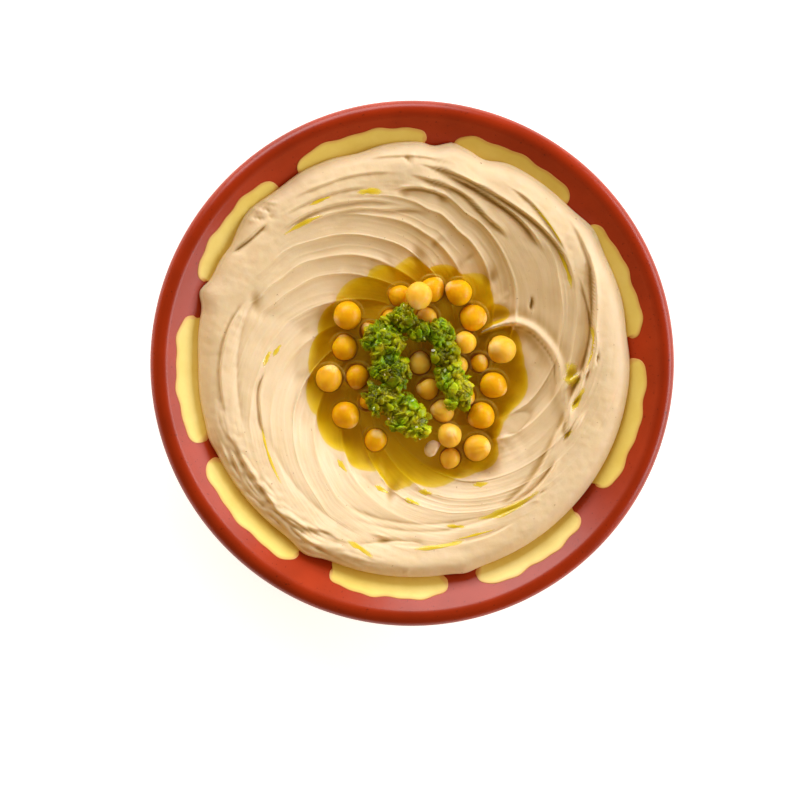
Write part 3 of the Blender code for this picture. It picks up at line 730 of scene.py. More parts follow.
def under_oil_group():
    """Colour of a thing as seen through the oil over it: red, green and blue fade with depth at their own rates."""
    group = bpy.data.node_groups.new("under_oil", "ShaderNodeTree")
    group.interface.new_socket("Color", in_out="INPUT", socket_type="NodeSocketColor")
    group.interface.new_socket("Color", in_out="OUTPUT", socket_type="NodeSocketColor")
    enter, leave = node(group, "NodeGroupInput"), node(group, "NodeGroupOutput")
    place = node(group, "ShaderNodeSeparateXYZ", {0: node(group, "ShaderNodeTexCoord").outputs["Object"]})
    depth = maths(group, "MAXIMUM", maths(group, "SUBTRACT", OIL_LEVEL * 0.001, place.outputs[2]), 0.0)
    near = maths(group, "DIVIDE", depth, 0.0100, clamp=True)
    stain = ramp(group, near, (0.0, (1.0, 1.0, 1.0, 1.0)), (0.03, (0.97, 0.92, 0.16, 1.0)),
                 (0.10, (0.98, 0.88, 0.006, 1.0)), (0.45, (0.97, 0.82, 0.001, 1.0)), (1.0, (0.86, 0.68, 0.001, 1.0)))
    group.links.new(blend(group, 1.0, enter.outputs[0], stain, "MULTIPLY"), leave.inputs[0])
    return group


under_oil = under_oil_group()


def seen_under_oil(tree, color):
    """Passes a colour through the under_oil group."""
    made = node(tree, "ShaderNodeGroup", node_tree=under_oil)
    tree.links.new(color, made.inputs[0])
    return made.outputs[0]


def hummus_material():
    """Pale paste with painted shade that makes it darker and warmer in the creases, drawn out in fine streaks, with a
    few brown flecks of skin.
    """
    made, tree, shader = shaded("hummus", Roughness=0.5, IOR=1.4, Subsurface_Weight=0.35,
                                Subsurface_Scale=0.0022, Subsurface_Radius=(1.0, 0.6, 0.28))
    drag = node(tree, "ShaderNodeAttribute", attribute_name="drag").outputs["Vector"]
    streaks = noise(tree, 3.0, 5.0, 0.55, drag)
    cloudy = noise(tree, 45.0, 3.0)
    tone = blend(tree, 0.45, cloudy, streaks)
    color = ramp(tree, tone, (0.3, paint(240, 208, 166)), (0.5, paint(243, 213, 176)), (0.72, paint(246, 218, 185)))
    flecks = ramp(tree, noise(tree, 620.0, 2.0, 0.6), (0.235, paint(176, 130, 88)), (0.275, paint(255, 255, 255)))
    color = blend(tree, 0.75, color, blend(tree, 1.0, color, flecks, "MULTIPLY"))
    # Painted shade: the crease attribute darkens and warms the colour in the hollows
    crease = node(tree, "ShaderNodeAttribute", attribute_name="crease").outputs["Fac"]
    color = blend(tree, crease, color, blend(tree, 1.0, color, paint(206, 186, 140), "MULTIPLY"))
    tree.links.new(seen_under_oil(tree, color), shader.inputs["Base Color"])
    tree.links.new(maths(tree, "MULTIPLY_ADD", noise(tree, 80.0), 0.25, 0.36), shader.inputs["Roughness"])
    grain = maths(tree, "MULTIPLY_ADD", noise(tree, 900.0, 3.0), 0.4, streaks)
    tree.links.new(relief(tree, grain, 0.22, 0.0005), shader.inputs["Normal"])
    return made


hummus = turned_piece("hummus_spread", hummus_rings, hummus_material())
rows = np.concatenate([np.full(len(under) + len(brim), 1.0), spreads[::-1, 0]])[1:-1]
drag = np.stack(np.broadcast_arrays(np.cos(np.radians(starts)) * 6, np.sin(np.radians(starts)) * 6,
                                    rows[:, None] * 2.2), axis=-1).reshape(-1, 3)
drag = np.concatenate([drag, np.zeros((2, 3))]).astype(np.float32)
hummus.data.attributes.new("drag", "FLOAT_VECTOR", "POINT").data.foreach_set("vector", drag.ravel())
crease = np.concatenate([np.zeros((len(under) + len(brim), HUMMUS_MERIDIANS)), crease[::-1]])[1:-1].ravel()
crease = np.concatenate([crease, np.zeros(2)]).astype(np.float32)
hummus.data.attributes.new("crease", "FLOAT", "POINT").data.foreach_set("value", crease)
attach(hummus, "root")
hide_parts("hummus")


# ---------------------------------------------------------------- chickpeas
# Boiled chickpeas: round, a little lumpy, with a short beak and a seam that runs from it. Drier tops are pale and
# peachy, some paler still as painted light, and the rest is soaked amber with painted shade round the oil's line.

# For some, by node number: how much drier and paler the top is, 0 to 1; for some in the relish's shadow it is set
# higher as painted light
DRY_AND_LIT_TOPS = {3: 0.15, 7: 0.4, 11: 0.3, 12: 0.6, 17: 0.9, 18: 0.3, 21: 0.5, 22: 0.4, 23: 0.6, 24: 0.3, 27: 0.3, 28: 0.55}
BEAK_REACH = 0.13


def chickpea_points(center, size, beak, number):
    """One chickpea on a grid of rings round its beak's axis.

    The radius is 1, minus a shallow seam, plus a beak that rises as a high power of the cosine, plus low lumps.
    """
    rng = np.random.default_rng(100 + number)
    polar_angle = np.linspace(0.0, math.pi, 34)[:, None]
    around = np.arange(48)[None, :] * 2 * math.pi / 48
    axis = beak / np.linalg.norm(beak)
    side = np.cross(axis, (0.3, 0.2, 1.0))
    side = side / np.linalg.norm(side)
    other = np.cross(axis, side)
    along = np.cos(polar_angle) * np.ones_like(around)
    aside = np.sin(polar_angle)
    toward = np.clip(along, 0.0, None)
    direction = (along[..., None] * axis + (aside * np.cos(around))[..., None] * side
                 + (aside * np.sin(around))[..., None] * other)
    seam_turn = rng.uniform(0, 2 * math.pi)
    off_seam = aside * np.sin(around - seam_turn)
    front = np.clip(np.cos(around - seam_turn), 0.0, 1.0) * aside
    seam = 0.05 * np.exp(-(off_seam / 0.07) ** 2) * np.clip(front * 1.5, 0, 1) * np.clip(along + 0.6, 0, 1)
    lumps = 0.03 * waves(rng, direction[..., 0] + direction[..., 2], direction[..., 1] - direction[..., 2], 8, 1.5, 4.5)
    reach = 0.975 + lumps - seam + BEAK_REACH * toward ** 7 - 0.02 * np.clip(-along, 0, 1) ** 4
    return center + size * direction * reach[..., None]


def chickpea_material():
    """Amber skin, paler towards the top where it is drier and, on some, as painted light, darker round the oil's line
    as painted shade, a whitish beak, and a thin coat of oil.
    """
    made, tree, shader = shaded("chickpea", Roughness=0.42, IOR=1.45, Subsurface_Weight=0.7,
                                Subsurface_Scale=0.0038, Subsurface_Radius=(1.0, 0.6, 0.1), Coat_Weight=0.06,
                                Coat_Roughness=0.12, Specular_IOR_Level=0.22)
    dry_and_lit = node(tree, "ShaderNodeAttribute", attribute_name="dry_and_lit").outputs["Fac"]
    pale = node(tree, "ShaderNodeAttribute", attribute_name="beak").outputs["Fac"]
    soaked = ramp(tree, noise(tree, 160.0, 4.0), (0.3, paint(226, 158, 0)), (0.7, paint(246, 184, 6)))
    peach = ramp(tree, noise(tree, 210.0, 4.0), (0.3, paint(247, 190, 66)), (0.7, paint(255, 212, 104)))
    color = blend(tree, dry_and_lit, soaked, peach)
    color = blend(tree, pale, color, paint(250, 206, 132))
    # Painted shade: darker round the oil's line and below it, from the wet attribute
    wet = node(tree, "ShaderNodeAttribute", attribute_name="wet").outputs["Fac"]
    color = blend(tree, wet, color, blend(tree, 1.0, color, paint(222, 182, 100), "MULTIPLY"))
    tree.links.new(seen_under_oil(tree, color), shader.inputs["Base Color"])
    tree.links.new(maths(tree, "MULTIPLY_ADD", noise(tree, 240.0), 0.22, 0.3), shader.inputs["Roughness"])
    tree.links.new(relief(tree, noise(tree, 650.0, 3.0), 0.22, 0.0004), shader.inputs["Normal"])
    return made


chickpea_skin = chickpea_material()
chickpeas = sorted(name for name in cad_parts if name.startswith("chickpea"))
balls = []   # centre x, y, z and radius of each, in millimetres, for the oil to rise round
for name in chickpeas:
    number = int(name[-2:])
    corners = np.array([vertex.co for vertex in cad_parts[name].data.vertices])
    low, high = corners.min(axis=0), corners.max(axis=0)
    middle = (low + high) / 2
    beak = corners[np.argmax(np.linalg.norm(corners - middle, axis=1))] - middle
    size = float(np.median(np.linalg.norm(corners - middle, axis=1))) / 0.975
    points = chickpea_points(middle, size, beak, number)
    piece = turned_piece(f"chickpea_{number:02d}_boiled", points, chickpea_skin)
    where = np.array([vertex.co for vertex in piece.data.vertices])
    up = (where[:, 2] - middle[2]) / size
    # Paler top: drier skin, and painted light on those in the relish's shadow
    dryness_and_light = DRY_AND_LIT_TOPS.get(number, 0.0) * np.clip((up + 0.15) / 0.7, 0.0, 1.0)
    tip = np.clip(((where - middle) @ beak / np.linalg.norm(beak) / size - 0.9) / 0.14, 0.0, 1.0) * 0.75
    piece.data.attributes.new("dry_and_lit", "FLOAT", "POINT").data.foreach_set("value", dryness_and_light.astype(np.float32))
    # Painted shade: the skin is darkened round the oil's line and below it
    wet = np.clip(1.0 - (where[:, 2] * 1000.0 - OIL_LEVEL - 0.3) / 1.1, 0.0, 1.0)
    piece.data.attributes.new("wet", "FLOAT", "POINT").data.foreach_set("value", wet.astype(np.float32))
    piece.data.attributes.new("beak", "FLOAT", "POINT").data.foreach_set("value", tip.astype(np.float32))
    balls.append((*(middle * 1000.0), size * 1000.0))
    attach(piece, "root")
    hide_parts(name)
balls = np.array(balls)


# ---------------------------------------------------------------- garlic chip
# A pale chip of garlic, cut flat, that leans half out of the oil.

chip_low, chip_high = (np.array(corner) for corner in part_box("garlic_chip"))
CHIP_TURN, CHIP_LEAN = 60.0, 20.0
CHIP_HALF = (3.6, 2.8, 1.3)


def chip_points():
    """A squared ball: each coordinate is the ball's, raised to a low power, with shallow dents."""
    lift = np.linspace(-math.pi / 2, math.pi / 2, 26)[:, None]
    around = np.arange(40)[None, :] * 2 * math.pi / 40
    ball = np.stack(np.broadcast_arrays(np.cos(lift) * np.cos(around), np.cos(lift) * np.sin(around), np.sin(lift)), -1)
    square = np.sign(ball) * np.abs(ball) ** 0.75
    dents = 1.0 - 0.13 * waves(np.random.default_rng(3), ball[..., 0] * 2, ball[..., 1] * 2 + ball[..., 2], 6, 1.0, 3.0)
    shape = square * dents[..., None] * np.array(CHIP_HALF) * 0.95
    lean, turn = math.radians(CHIP_LEAN), math.radians(CHIP_TURN)
    leaned = np.stack([shape[..., 0] * math.cos(lean) + shape[..., 2] * math.sin(lean), shape[..., 1],
                       shape[..., 2] * math.cos(lean) - shape[..., 0] * math.sin(lean)], axis=-1)
    turned_x = leaned[..., 0] * math.cos(turn) - leaned[..., 1] * math.sin(turn)
    turned_y = leaned[..., 0] * math.sin(turn) + leaned[..., 1] * math.cos(turn)
    return (chip_low + chip_high) / 2 + 0.001 * np.stack([turned_x, turned_y, leaned[..., 2]], axis=-1)


def chip_material():
    """Waxy off-white, a little pinker in patches."""
    made, tree, shader = shaded("garlic", Roughness=0.35, IOR=1.42, Subsurface_Weight=0.4,
                                Subsurface_Scale=0.0015, Subsurface_Radius=(1.0, 0.8, 0.5))
    color = ramp(tree, noise(tree, 260.0, 4.0), (0.3, paint(222, 172, 124)), (0.6, paint(240, 206, 166)))
    tree.links.new(seen_under_oil(tree, color), shader.inputs["Base Color"])
    tree.links.new(relief(tree, noise(tree, 700.0), 0.2, 0.0003), shader.inputs["Normal"])
    return made


chip = turned_piece("garlic_chip_cut", chip_points(), chip_material())
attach(chip, "root")
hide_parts("garlic_chip")


# ---------------------------------------------------------------- olive oil
# A level pool in the well. It climbs a little where it wets the hummus and the
# chickpeas. Its colour deepens from gold at the shore to olive over the floor.

OIL_STEP = 0.42          # spacing of the grid
CLIMB = 0.55             # how high the oil climbs where it touches
CLIMB_REACH = 0.95
# Painted shade, with some sediment, in hollows among the chickpeas: x, y and size
SHADED = ((2.5, 8.5, 3.6), (-1.5, -7.0, 3.4), (8.5, 17.5, 3.0), (18.5, 0.5, 3.0), (-20.0, -8.0, 2.6), (14.0, -19.5, 3.0),
          (-18.0, -2.5, 2.4), (5.0, -18.0, 3.0))


def oil_pool(material):
    """The pool on a square grid: the level plus climb times exp(-distance / reach), down to just inside the hummus.

    Cells where the hummus stands higher than the oil are left out, and a lower sheet inside the hummus closes it.
    Its attributes are the depth, how crowded a place is by chickpeas, which sets painted shade, and a ring where the
    oil climbs, which sets a painted highlight.
    """
    span = np.arange(-52.0, 52.0, OIL_STEP)
    x, y = np.meshgrid(span, span, indexing="ij")
    radius, azimuth = np.hypot(x, y), np.degrees(np.arctan2(y, x))
    ground = hummus_height(radius, azimuth)
    depth = OIL_LEVEL - ground
    slope = np.hypot(*np.gradient(ground, OIL_STEP))
    shore = np.clip(depth, 0.0, None) / np.clip(slope, 0.35, 2.0)
    climb = np.exp(-shore / CLIMB_REACH) * 0.5
    cover = depth.copy()
    crowd, ring = np.zeros_like(depth), np.zeros_like(depth)
    for ball_x, ball_y, ball_z, size in balls:
        flat = np.hypot(x - ball_x, y - ball_y)
        wet = np.sqrt(np.clip(size ** 2 - (OIL_LEVEL - ball_z) ** 2, 0.0, None))
        gap = np.clip(flat - wet, 0.0, None)
        climb = np.maximum(climb, np.exp(-gap / CLIMB_REACH))
        above = OIL_LEVEL - (ball_z + np.sqrt(np.clip(size ** 2 - flat ** 2, 0.0, None)))
        cover = np.where(flat < size, np.minimum(cover, np.clip(above, 0.0, None)), cover)
        # Painted shade: darker near the chickpeas, darkest in a thin line where they meet the oil
        crowd = crowd + 0.8 * np.exp(-gap / 1.9) + 0.9 * np.exp(-(gap / 0.4) ** 2)
        # Painted highlight: a pale ring round each chickpea, only on the side towards the lamps
        lit_side = np.clip(0.25 + ((x - ball_x) * 0.3 + (y - ball_y) * 0.95) / np.maximum(flat, 0.1), 0.0, 1.0)
        ring = np.maximum(ring, lit_side * np.exp(-((gap - 1.05) / 0.3) ** 2))
    # Painted shade in the listed hollows
    for lump_x, lump_y, size in SHADED:
        crowd = crowd + 0.9 * np.exp(-(np.hypot(x - lump_x, y - lump_y) / size) ** 2)
    level = OIL_LEVEL + CLIMB * climb
    kept = (depth > -0.9) & (radius < 56.0)
    cell = kept[:-1, :-1] & kept[1:, :-1] & kept[1:, 1:] & kept[:-1, 1:]
    index = np.arange(x.size).reshape(x.shape)
    cells = np.stack([index[:-1, :-1], index[1:, :-1], index[1:, 1:], index[:-1, 1:]], axis=-1)[cell]
    edges = np.concatenate([cells[:, [0, 1]], cells[:, [1, 2]], cells[:, [2, 3]], cells[:, [3, 0]]])
    rim = edges[~np.isin(edges[:, 0] * x.size + edges[:, 1], edges[:, 1] * x.size + edges[:, 0])]
    strip = np.stack([rim[:, 0], rim[:, 0] + x.size, rim[:, 1] + x.size, rim[:, 1]], axis=-1)
    faces = np.concatenate([cells, cells[:, ::-1] + x.size, strip])
    floor = np.minimum(ground - 0.5, level - 0.3)
    points = np.concatenate([np.stack([x, y, level], -1).reshape(-1, 3), np.stack([x, y, floor], -1).reshape(-1, 3)])
    used = np.unique(faces)
    place = np.zeros(len(points), dtype=int)
    place[used] = np.arange(len(used))
    pool = new_piece("oil_pool", points[used] * 0.001, place[faces].tolist(), material)
    for attribute, values in (("depth", cover), ("crowd", np.clip(crowd - 0.85, 0.0, 1.0)), ("ring", ring)):
        both = np.concatenate([values.ravel(), values.ravel()])[used].astype(np.float32)
        pool.data.attributes.new(attribute, "FLOAT", "POINT").data.foreach_set("value", both)
    return pool


def oil_material():
    """Clear oil, gold where shallow and olive where deep, and brown between the chickpeas as painted shade with some
    sediment.
    """
    made, tree, shader = shaded("olive_oil", Roughness=0.06, IOR=1.47, Specular_IOR_Level=0.4)
    depth = node(tree, "ShaderNodeAttribute", attribute_name="depth").outputs["Fac"]
    share = maths(tree, "DIVIDE", depth, 8.0, clamp=True)
    color = ramp(tree, share, (0.0, paint(248, 208, 0)), (0.25, paint(240, 192, 0)), (1.0, paint(216, 164, 0)))
    clear = ramp(tree, share, (0.0, (0.02, 0.02, 0.02, 1)), (0.04, (0.06, 0.06, 0.06, 1)), (1.0, (0.16, 0.16, 0.16, 1)))
    crowd = node(tree, "ShaderNodeAttribute", attribute_name="crowd").outputs["Fac"]
    # Painted shade, with some sediment: the oil turns brown and less clear where chickpeas crowd
    crumbs_and_shade = maths(tree, "MULTIPLY", crowd, maths(tree, "MULTIPLY_ADD", noise(tree, 160.0), 0.8, 0.55), clamp=True)
    color = blend(tree, crumbs_and_shade, color, paint(122, 70, 0))
    clear = blend(tree, crumbs_and_shade, clear, (0.72, 0.72, 0.72, 1.0))
    # Painted highlight: the pale ring round the chickpeas
    ring = node(tree, "ShaderNodeAttribute", attribute_name="ring").outputs["Fac"]
    ring = maths(tree, "MULTIPLY", ring, maths(tree, "MULTIPLY_ADD", noise(tree, 120.0), 2.2, -0.6, clamp=True))
    color = blend(tree, ring, color, paint(238, 206, 118))
    clear = blend(tree, ring, clear, (0.7, 0.7, 0.7, 1.0))
    tree.links.new(color, shader.inputs["Base Color"])
    tree.links.new(clear, shader.inputs["Alpha"])
    return made


oil = oil_material()
pool = oil_pool(oil)
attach(pool, "root")
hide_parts("olive_oil")


# ---------------------------------------------------------------- oil on the hummus
# Oil that ran into the folds when it was poured: long thin pools and a few
# drops, each a low lens that lies in the surface.

# azimuth and radius of one end, of the middle and of the other end, then half width
OIL_TRAILS = (
    ((25, 67.0), (32, 69.0), (40, 71.0), 0.9), ((38, 72.2), (46, 74.0), (56, 76.0), 0.5),
    ((100, 66.6), (104.5, 68.0), (109, 68.8), 1.5), ((116, 71.2), (120, 71.8), (124, 72.4), 0.8),
    ((121, 66.4), (128, 68.2), (136, 70.0), 1.0), ((201, 62.3), (210, 64.8), (223, 68.3), 0.7),
    ((248.6, 71.8), (253.4, 72.9), (258, 75.2), 1.2), ((269, 70.6), (278, 70.3), (287, 70.2), 1.0),
    ((282, 69.0), (290, 69.4), (297, 70.6), 0.5), ((281, 63.2), (284.5, 64.4), (288, 65.4), 0.9),
    ((291.5, 64.2), (302, 66.4), (316, 68.2), 1.6), ((333.6, 64.4), (335.4, 65.0), (337.4, 65.8), 0.8),
    ((351.0, 61.4), (356.2, 61.2), (361.2, 60.4), 3.2), ((343.2, 63.4), (347.8, 64.5), (352.8, 66.2), 1.3),
    ((-2, 65.9), (6, 69.1), (16, 70.1), 0.5), ((171, 51.2), (174, 52.6), (177, 53.8), 1.0),
    ((174, 54.8), (177, 56.0), (181, 57.4), 1.1), ((231, 46.8), (234.9, 47.6), (239, 48.8), 1.1),
    ((252, 49.0), (256, 49.8), (260, 50.8), 1.0), ((265.5, 52.0), (269.5, 53.0), (273, 54.4), 1.1),
    ((272, 49.2), (275.6, 49.8), (279, 50.8), 1.2), ((296, 52.2), (299, 53.2), (303, 54.4), 1.1),
)


def oil_trail(number, start, middle, end, half, material):
    """One lens of oil on a grid: u runs along the trail, v across it; it is thickest in the middle.

    Its outline is an eye, half width times the square root of 1 - u squared, and its top a low arch over the hummus.
    """
    u = np.sin(np.linspace(-0.5, 0.5, 49) * math.pi)[:, None]
    v = np.sin(np.linspace(-0.5, 0.5, 15) * math.pi)[None, :]
    knots = (-1.0, 0.0, 1.0)
    azimuth = flow(u, knots, (start[0], middle[0], end[0]))
    radius = flow(u, knots, (start[1], middle[1], end[1]))
    rng = np.random.default_rng(50 + number)
    eye = np.sqrt(1.0 - u ** 2) * (1.0 + 0.22 * np.sin(5.0 * u + rng.uniform(0, 6)) + 0.1 * np.sin(11 * u + number))
    radius = radius + half * eye * v
    bulge = np.clip((1.0 - u ** 2) * (1.0 - v ** 2), 0.0, 1.0)
    ground = hummus_height(radius, azimuth)
    level = hummus_height(radius - half * eye * v, azimuth)
    pooled = np.minimum(np.maximum(ground, level - 0.1), ground + 0.5)
    top = polar(radius, azimuth, pooled * bulge ** 0.5 + ground * (1 - bulge ** 0.5) - 0.06 + 0.2 * bulge ** 0.7)
    bottom = polar(radius, azimuth, ground - 0.25)
    piece = closed_sheet(f"trail_{number}", top, bottom, material)
    thick = np.concatenate([bulge.ravel(), np.zeros(bulge.size)]).astype(np.float32)
    piece.data.attributes.new("thick", "FLOAT", "POINT").data.foreach_set("value", thick)
    return piece


def film_material():
    """A thin film of oil over pale paste: bright yellow gold, fading out at its rim."""
    made, tree, shader = shaded("oil_film", Roughness=0.07, IOR=1.47)
    thick = node(tree, "ShaderNodeAttribute", attribute_name="thick").outputs["Fac"]
    color = ramp(tree, thick, (0.0, paint(255, 238, 110)), (0.5, paint(255, 230, 20)), (1.0, paint(240, 204, 0)))
    tree.links.new(color, shader.inputs["Base Color"])
    clear = ramp(tree, thick, (0.0, (0.03, 0.03, 0.03, 1)), (0.4, (0.4, 0.4, 0.4, 1)), (1.0, (0.8, 0.8, 0.8, 1)))
    tree.links.new(clear, shader.inputs["Alpha"])
    return made


film = film_material()
trails = join([oil_trail(number, *spot, film) for number, spot in enumerate(OIL_TRAILS)], "oil_trails")
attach(trails, "root")


# ---------------------------------------------------------------- relish
# Green peppers, parsley and lemon chopped fine and spooned over the chickpeas.
# A ragged core of wet pulp carries soft chunks, shreds of leaf and seeds.

RELISH = (
    (-11.3, 9.0, 8.2), (-4.2, 17.8, 5.2), (-9.2, -2.5, 8.0), (-10.5, -13.0, 7.4), (-3.5, -19.0, 7.4),
    (0.9, -23.8, 5.7), (2.6, 12.8, 4.9), (10.2, 11.8, 5.6), (12.4, 3.9, 5.5), (14.2, -5.2, 6.3),
    (17.7, -11.4, 5.8),
)
heap_low, heap_high = (np.array(corner) * 1000.0 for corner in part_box("green_relish"))
RELISH_MIDDLE = (heap_low[2] + heap_high[2]) / 2
RELISH_HALF = (heap_high[2] - heap_low[2]) / 2
RELISH_STEP = 0.28


def heap_share(x, y):
    """How far inside the heap a place lies: 1 over the middle of a lump, 0 on the ragged outline."""
    share = np.full(np.shape(x), -9.0)
    for lump_x, lump_y, size in RELISH:
        share = np.maximum(share, 1.0 - ((x - lump_x) ** 2 + (y - lump_y) ** 2) / size ** 2)
    rng = np.random.default_rng(31)
    return share + 0.24 * waves(rng, x, y, 24, 0.5, 1.4) + 0.12 * waves(rng, x, y, 30, 1.8, 3.6)


def heap_relief(x, y):
    """Clumps on the heap: knobs 2 to 5 mm across with grooves between them, about -1 to 1."""
    rng = np.random.default_rng(32)
    coarse, fine = waves(rng, x, y, 24, 0.7, 1.7), waves(rng, x, y, 30, 2.2, 4.0)
    return 0.85 - 1.2 * np.abs(coarse) + 0.16 * fine


def heap_top(x, y):
    """Height of the heap: an ellipse's root over the share, with the clumps, lower towards the outline."""
    body = np.sqrt(np.clip(heap_share(x, y), 0.0, 1.1))
    return RELISH_MIDDLE + (RELISH_HALF - 0.6) * body + 0.55 * heap_relief(x, y) * np.clip(body * 1.6, 0.0, 1.0)


def heap_core(material):
    """The core on a square grid, kept where it lies inside the outline, closed by a flatter sheet below."""
    x, y = np.meshgrid(np.arange(-23.0, 26.5, RELISH_STEP), np.arange(-32.5, 27.0, RELISH_STEP), indexing="ij")
    share = heap_share(x, y)
    body = np.sqrt(np.clip(share, 0.0, 1.1))
    top = heap_top(x, y) - 0.25
    bottom = np.minimum(RELISH_MIDDLE - 0.8 * RELISH_HALF * body, top - 0.3)
    kept = share > 0.0
    cell = kept[:-1, :-1] & kept[1:, :-1] & kept[1:, 1:] & kept[:-1, 1:]
    index = np.arange(x.size).reshape(x.shape)
    cells = np.stack([index[:-1, :-1], index[1:, :-1], index[1:, 1:], index[:-1, 1:]], axis=-1)[cell]
    edges = np.concatenate([cells[:, [0, 1]], cells[:, [1, 2]], cells[:, [2, 3]], cells[:, [3, 0]]])
    rim = edges[~np.isin(edges[:, 0] * x.size + edges[:, 1], edges[:, 1] * x.size + edges[:, 0])]
    strip = np.stack([rim[:, 0], rim[:, 0] + x.size, rim[:, 1] + x.size, rim[:, 1]], axis=-1)
    faces = np.concatenate([cells, cells[:, ::-1] + x.size, strip])
    points = np.concatenate([np.stack([x, y, top], -1).reshape(-1, 3), np.stack([x, y, bottom], -1).reshape(-1, 3)])
    used = np.unique(faces)
    place = np.zeros(len(points), dtype=int)
    place[used] = np.arange(len(used))
    made = new_piece("relish_core", points[used] * 0.001, place[faces].tolist(), material)
    # Painted shade: the tone is darker in the grooves between clumps and paler on the knobs, from the heap's relief,
    # and the lower sheet is darker still
    tone = np.clip(0.5 + 0.16 * heap_relief(x, y) + 0.28 * patches_of_tone(x, y), 0.0, 1.0).ravel()
    tone = np.concatenate([tone, 0.2 * tone])[used].astype(np.float32)
    made.data.attributes.new("tone", "FLOAT", "POINT").data.foreach_set("value", tone)
    return made


# Paler (above 0) and darker (below 0) lumps of the heap: x, y and shift
LUMP_TONES = (
    (-9.2, -2.5, -0.9), (-10.5, -13.0, -0.7), (2.6, 12.8, -0.9), (12.4, 3.9, -0.9), (-3.5, -19.0, 0.9),
    (0.9, -23.8, 1.0), (14.2, -5.2, 0.7), (17.7, -11.4, 0.8), (-11.3, 9.0, 0.1), (10.2, 11.8, 0.4),
)


def patches_of_tone(x, y):
    """Paler and darker parts of the heap, about -1 to 1: a bell curve for each lump, and random patches."""
    tone = 0.6 * waves(np.random.default_rng(5), x, y, 14, 0.25, 0.8)
    for lump_x, lump_y, shift in LUMP_TONES:
        tone = tone + shift * np.exp(-((x - lump_x) ** 2 + (y - lump_y) ** 2) / 36.0)
    return tone


def green_material(name, dark, mid, light, rough, scale):
    """Wet chopped green: every bit has its own tone, from its own attribute, with fine mottling."""
    made, tree, shader = shaded(name, IOR=1.42, Subsurface_Weight=0.75, Subsurface_Scale=0.0032,
                                Subsurface_Radius=(1.0, 1.0, 0.05), Coat_Weight=0.05, Coat_Roughness=0.12,
                                Specular_IOR_Level=0.18)
    tone = node(tree, "ShaderNodeAttribute", attribute_name="tone").outputs["Fac"]
    mixed = maths(tree, "MULTIPLY_ADD", noise(tree, scale, 3.0), 0.24, maths(tree, "SUBTRACT", tone, 0.12))
    color = ramp(tree, mixed, (0.1, paint(*dark)), (0.5, paint(*mid)), (0.9, paint(*light)))
    # Peppers and herb are greener, the lemon's pulp between them is more yellow: spots 3 to 5 mm across
    hue = ramp(tree, noise(tree, 190.0, 2.0), (0.37, (0.66, 1.0, 0.7, 1.0)), (0.5, (0.98, 0.97, 0.7, 1.0)),
               (0.62, (1.1, 0.8, 0.7, 1.0)))
    color = blend(tree, 1.0, color, hue, "MULTIPLY")
    tree.links.new(color, shader.inputs["Base Color"])
    tree.links.new(maths(tree, "MULTIPLY_ADD", noise(tree, scale), 0.2, rough), shader.inputs["Roughness"])
    tree.links.new(relief(tree, noise(tree, 2 * scale, 3.0), 0.2, 0.0004), shader.inputs["Normal"])
    return made


pulp = green_material("relish_pulp", (82, 84, 0), (140, 146, 0), (186, 192, 14), 0.3, 420.0)
core = heap_core(pulp)
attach(core, "root")
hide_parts("green_relish")


def spots_on_heap(rng, count, least):
    """Random places on the heap where the share is at least that much, and the outward direction there."""
    x, y = rng.uniform(-23.0, 26.0, count * 8), rng.uniform(-32.0, 27.0, count * 8)
    inside = heap_share(x, y) > least
    x, y = x[inside][:count], y[inside][:count]
    step = 0.5
    lean_x = (heap_top(x + step, y) - heap_top(x - step, y)) / (2 * step)
    lean_y = (heap_top(x, y + step) - heap_top(x, y - step)) / (2 * step)
    out = np.stack([-np.clip(lean_x, -1.5, 1.5), -np.clip(lean_y, -1.5, 1.5), np.ones(len(x))], axis=-1)
    return np.stack([x, y, heap_top(x, y)], axis=-1), out / np.linalg.norm(out, axis=1)[:, None]


def scatter(name, shape, faces, places, outward, sizes, turns, material, tones, tumble, rng):
    """Many copies of one small shape, each with its own place, size, turn and tumble, as one mesh.

    A copy's frame is the outward direction, tipped by a random tumble, and a random turn about it.
    """
    count, points = len(places), shape.shape[0]
    up = outward + tumble * rng.normal(size=(count, 3))
    up = up / np.linalg.norm(up, axis=1)[:, None]
    seed = np.stack([np.cos(turns), np.sin(turns), np.zeros(count)], axis=-1)
    right = np.cross(seed, up)
    right = right / np.linalg.norm(right, axis=1)[:, None]
    front = np.cross(up, right)
    local = shape[None] * sizes[:, None, :]
    placed = (places[:, None] + local[..., 0:1] * right[:, None] + local[..., 1:2] * front[:, None]
              + local[..., 2:3] * up[:, None])
    every = (faces[None] + (np.arange(count) * points)[:, None, None]).reshape(-1, faces.shape[1])
    piece = new_piece(name, placed * 0.001, every.tolist(), material)
    tone = np.repeat(tones, points).astype(np.float32)
    piece.data.attributes.new("tone", "FLOAT", "POINT").data.foreach_set("value", tone)
    return piece


def shred_shape():
    """A curled, ruffled shred of leaf on a 7 by 5 grid: pointed ends, folded along its middle, 0.12 thick."""
    u, v = np.meshgrid(np.linspace(-1, 1, 7), np.linspace(-1, 1, 5), indexing="ij")
    half = np.array((0.2, 0.7, 1.0, 0.85, 1.0, 0.6, 0.15))[:, None]
    height = 0.3 * np.abs(v) * half - 0.3 * u ** 2 + 0.14 * np.sin(6.5 * u + 2.0 * v) * np.abs(v)
    top = np.stack([u, 0.6 * v * half, height + 0.06], axis=-1)
    bottom = np.stack([u, 0.6 * v * half, height - 0.06], axis=-1)
    return np.concatenate([top.reshape(-1, 3), bottom.reshape(-1, 3)])


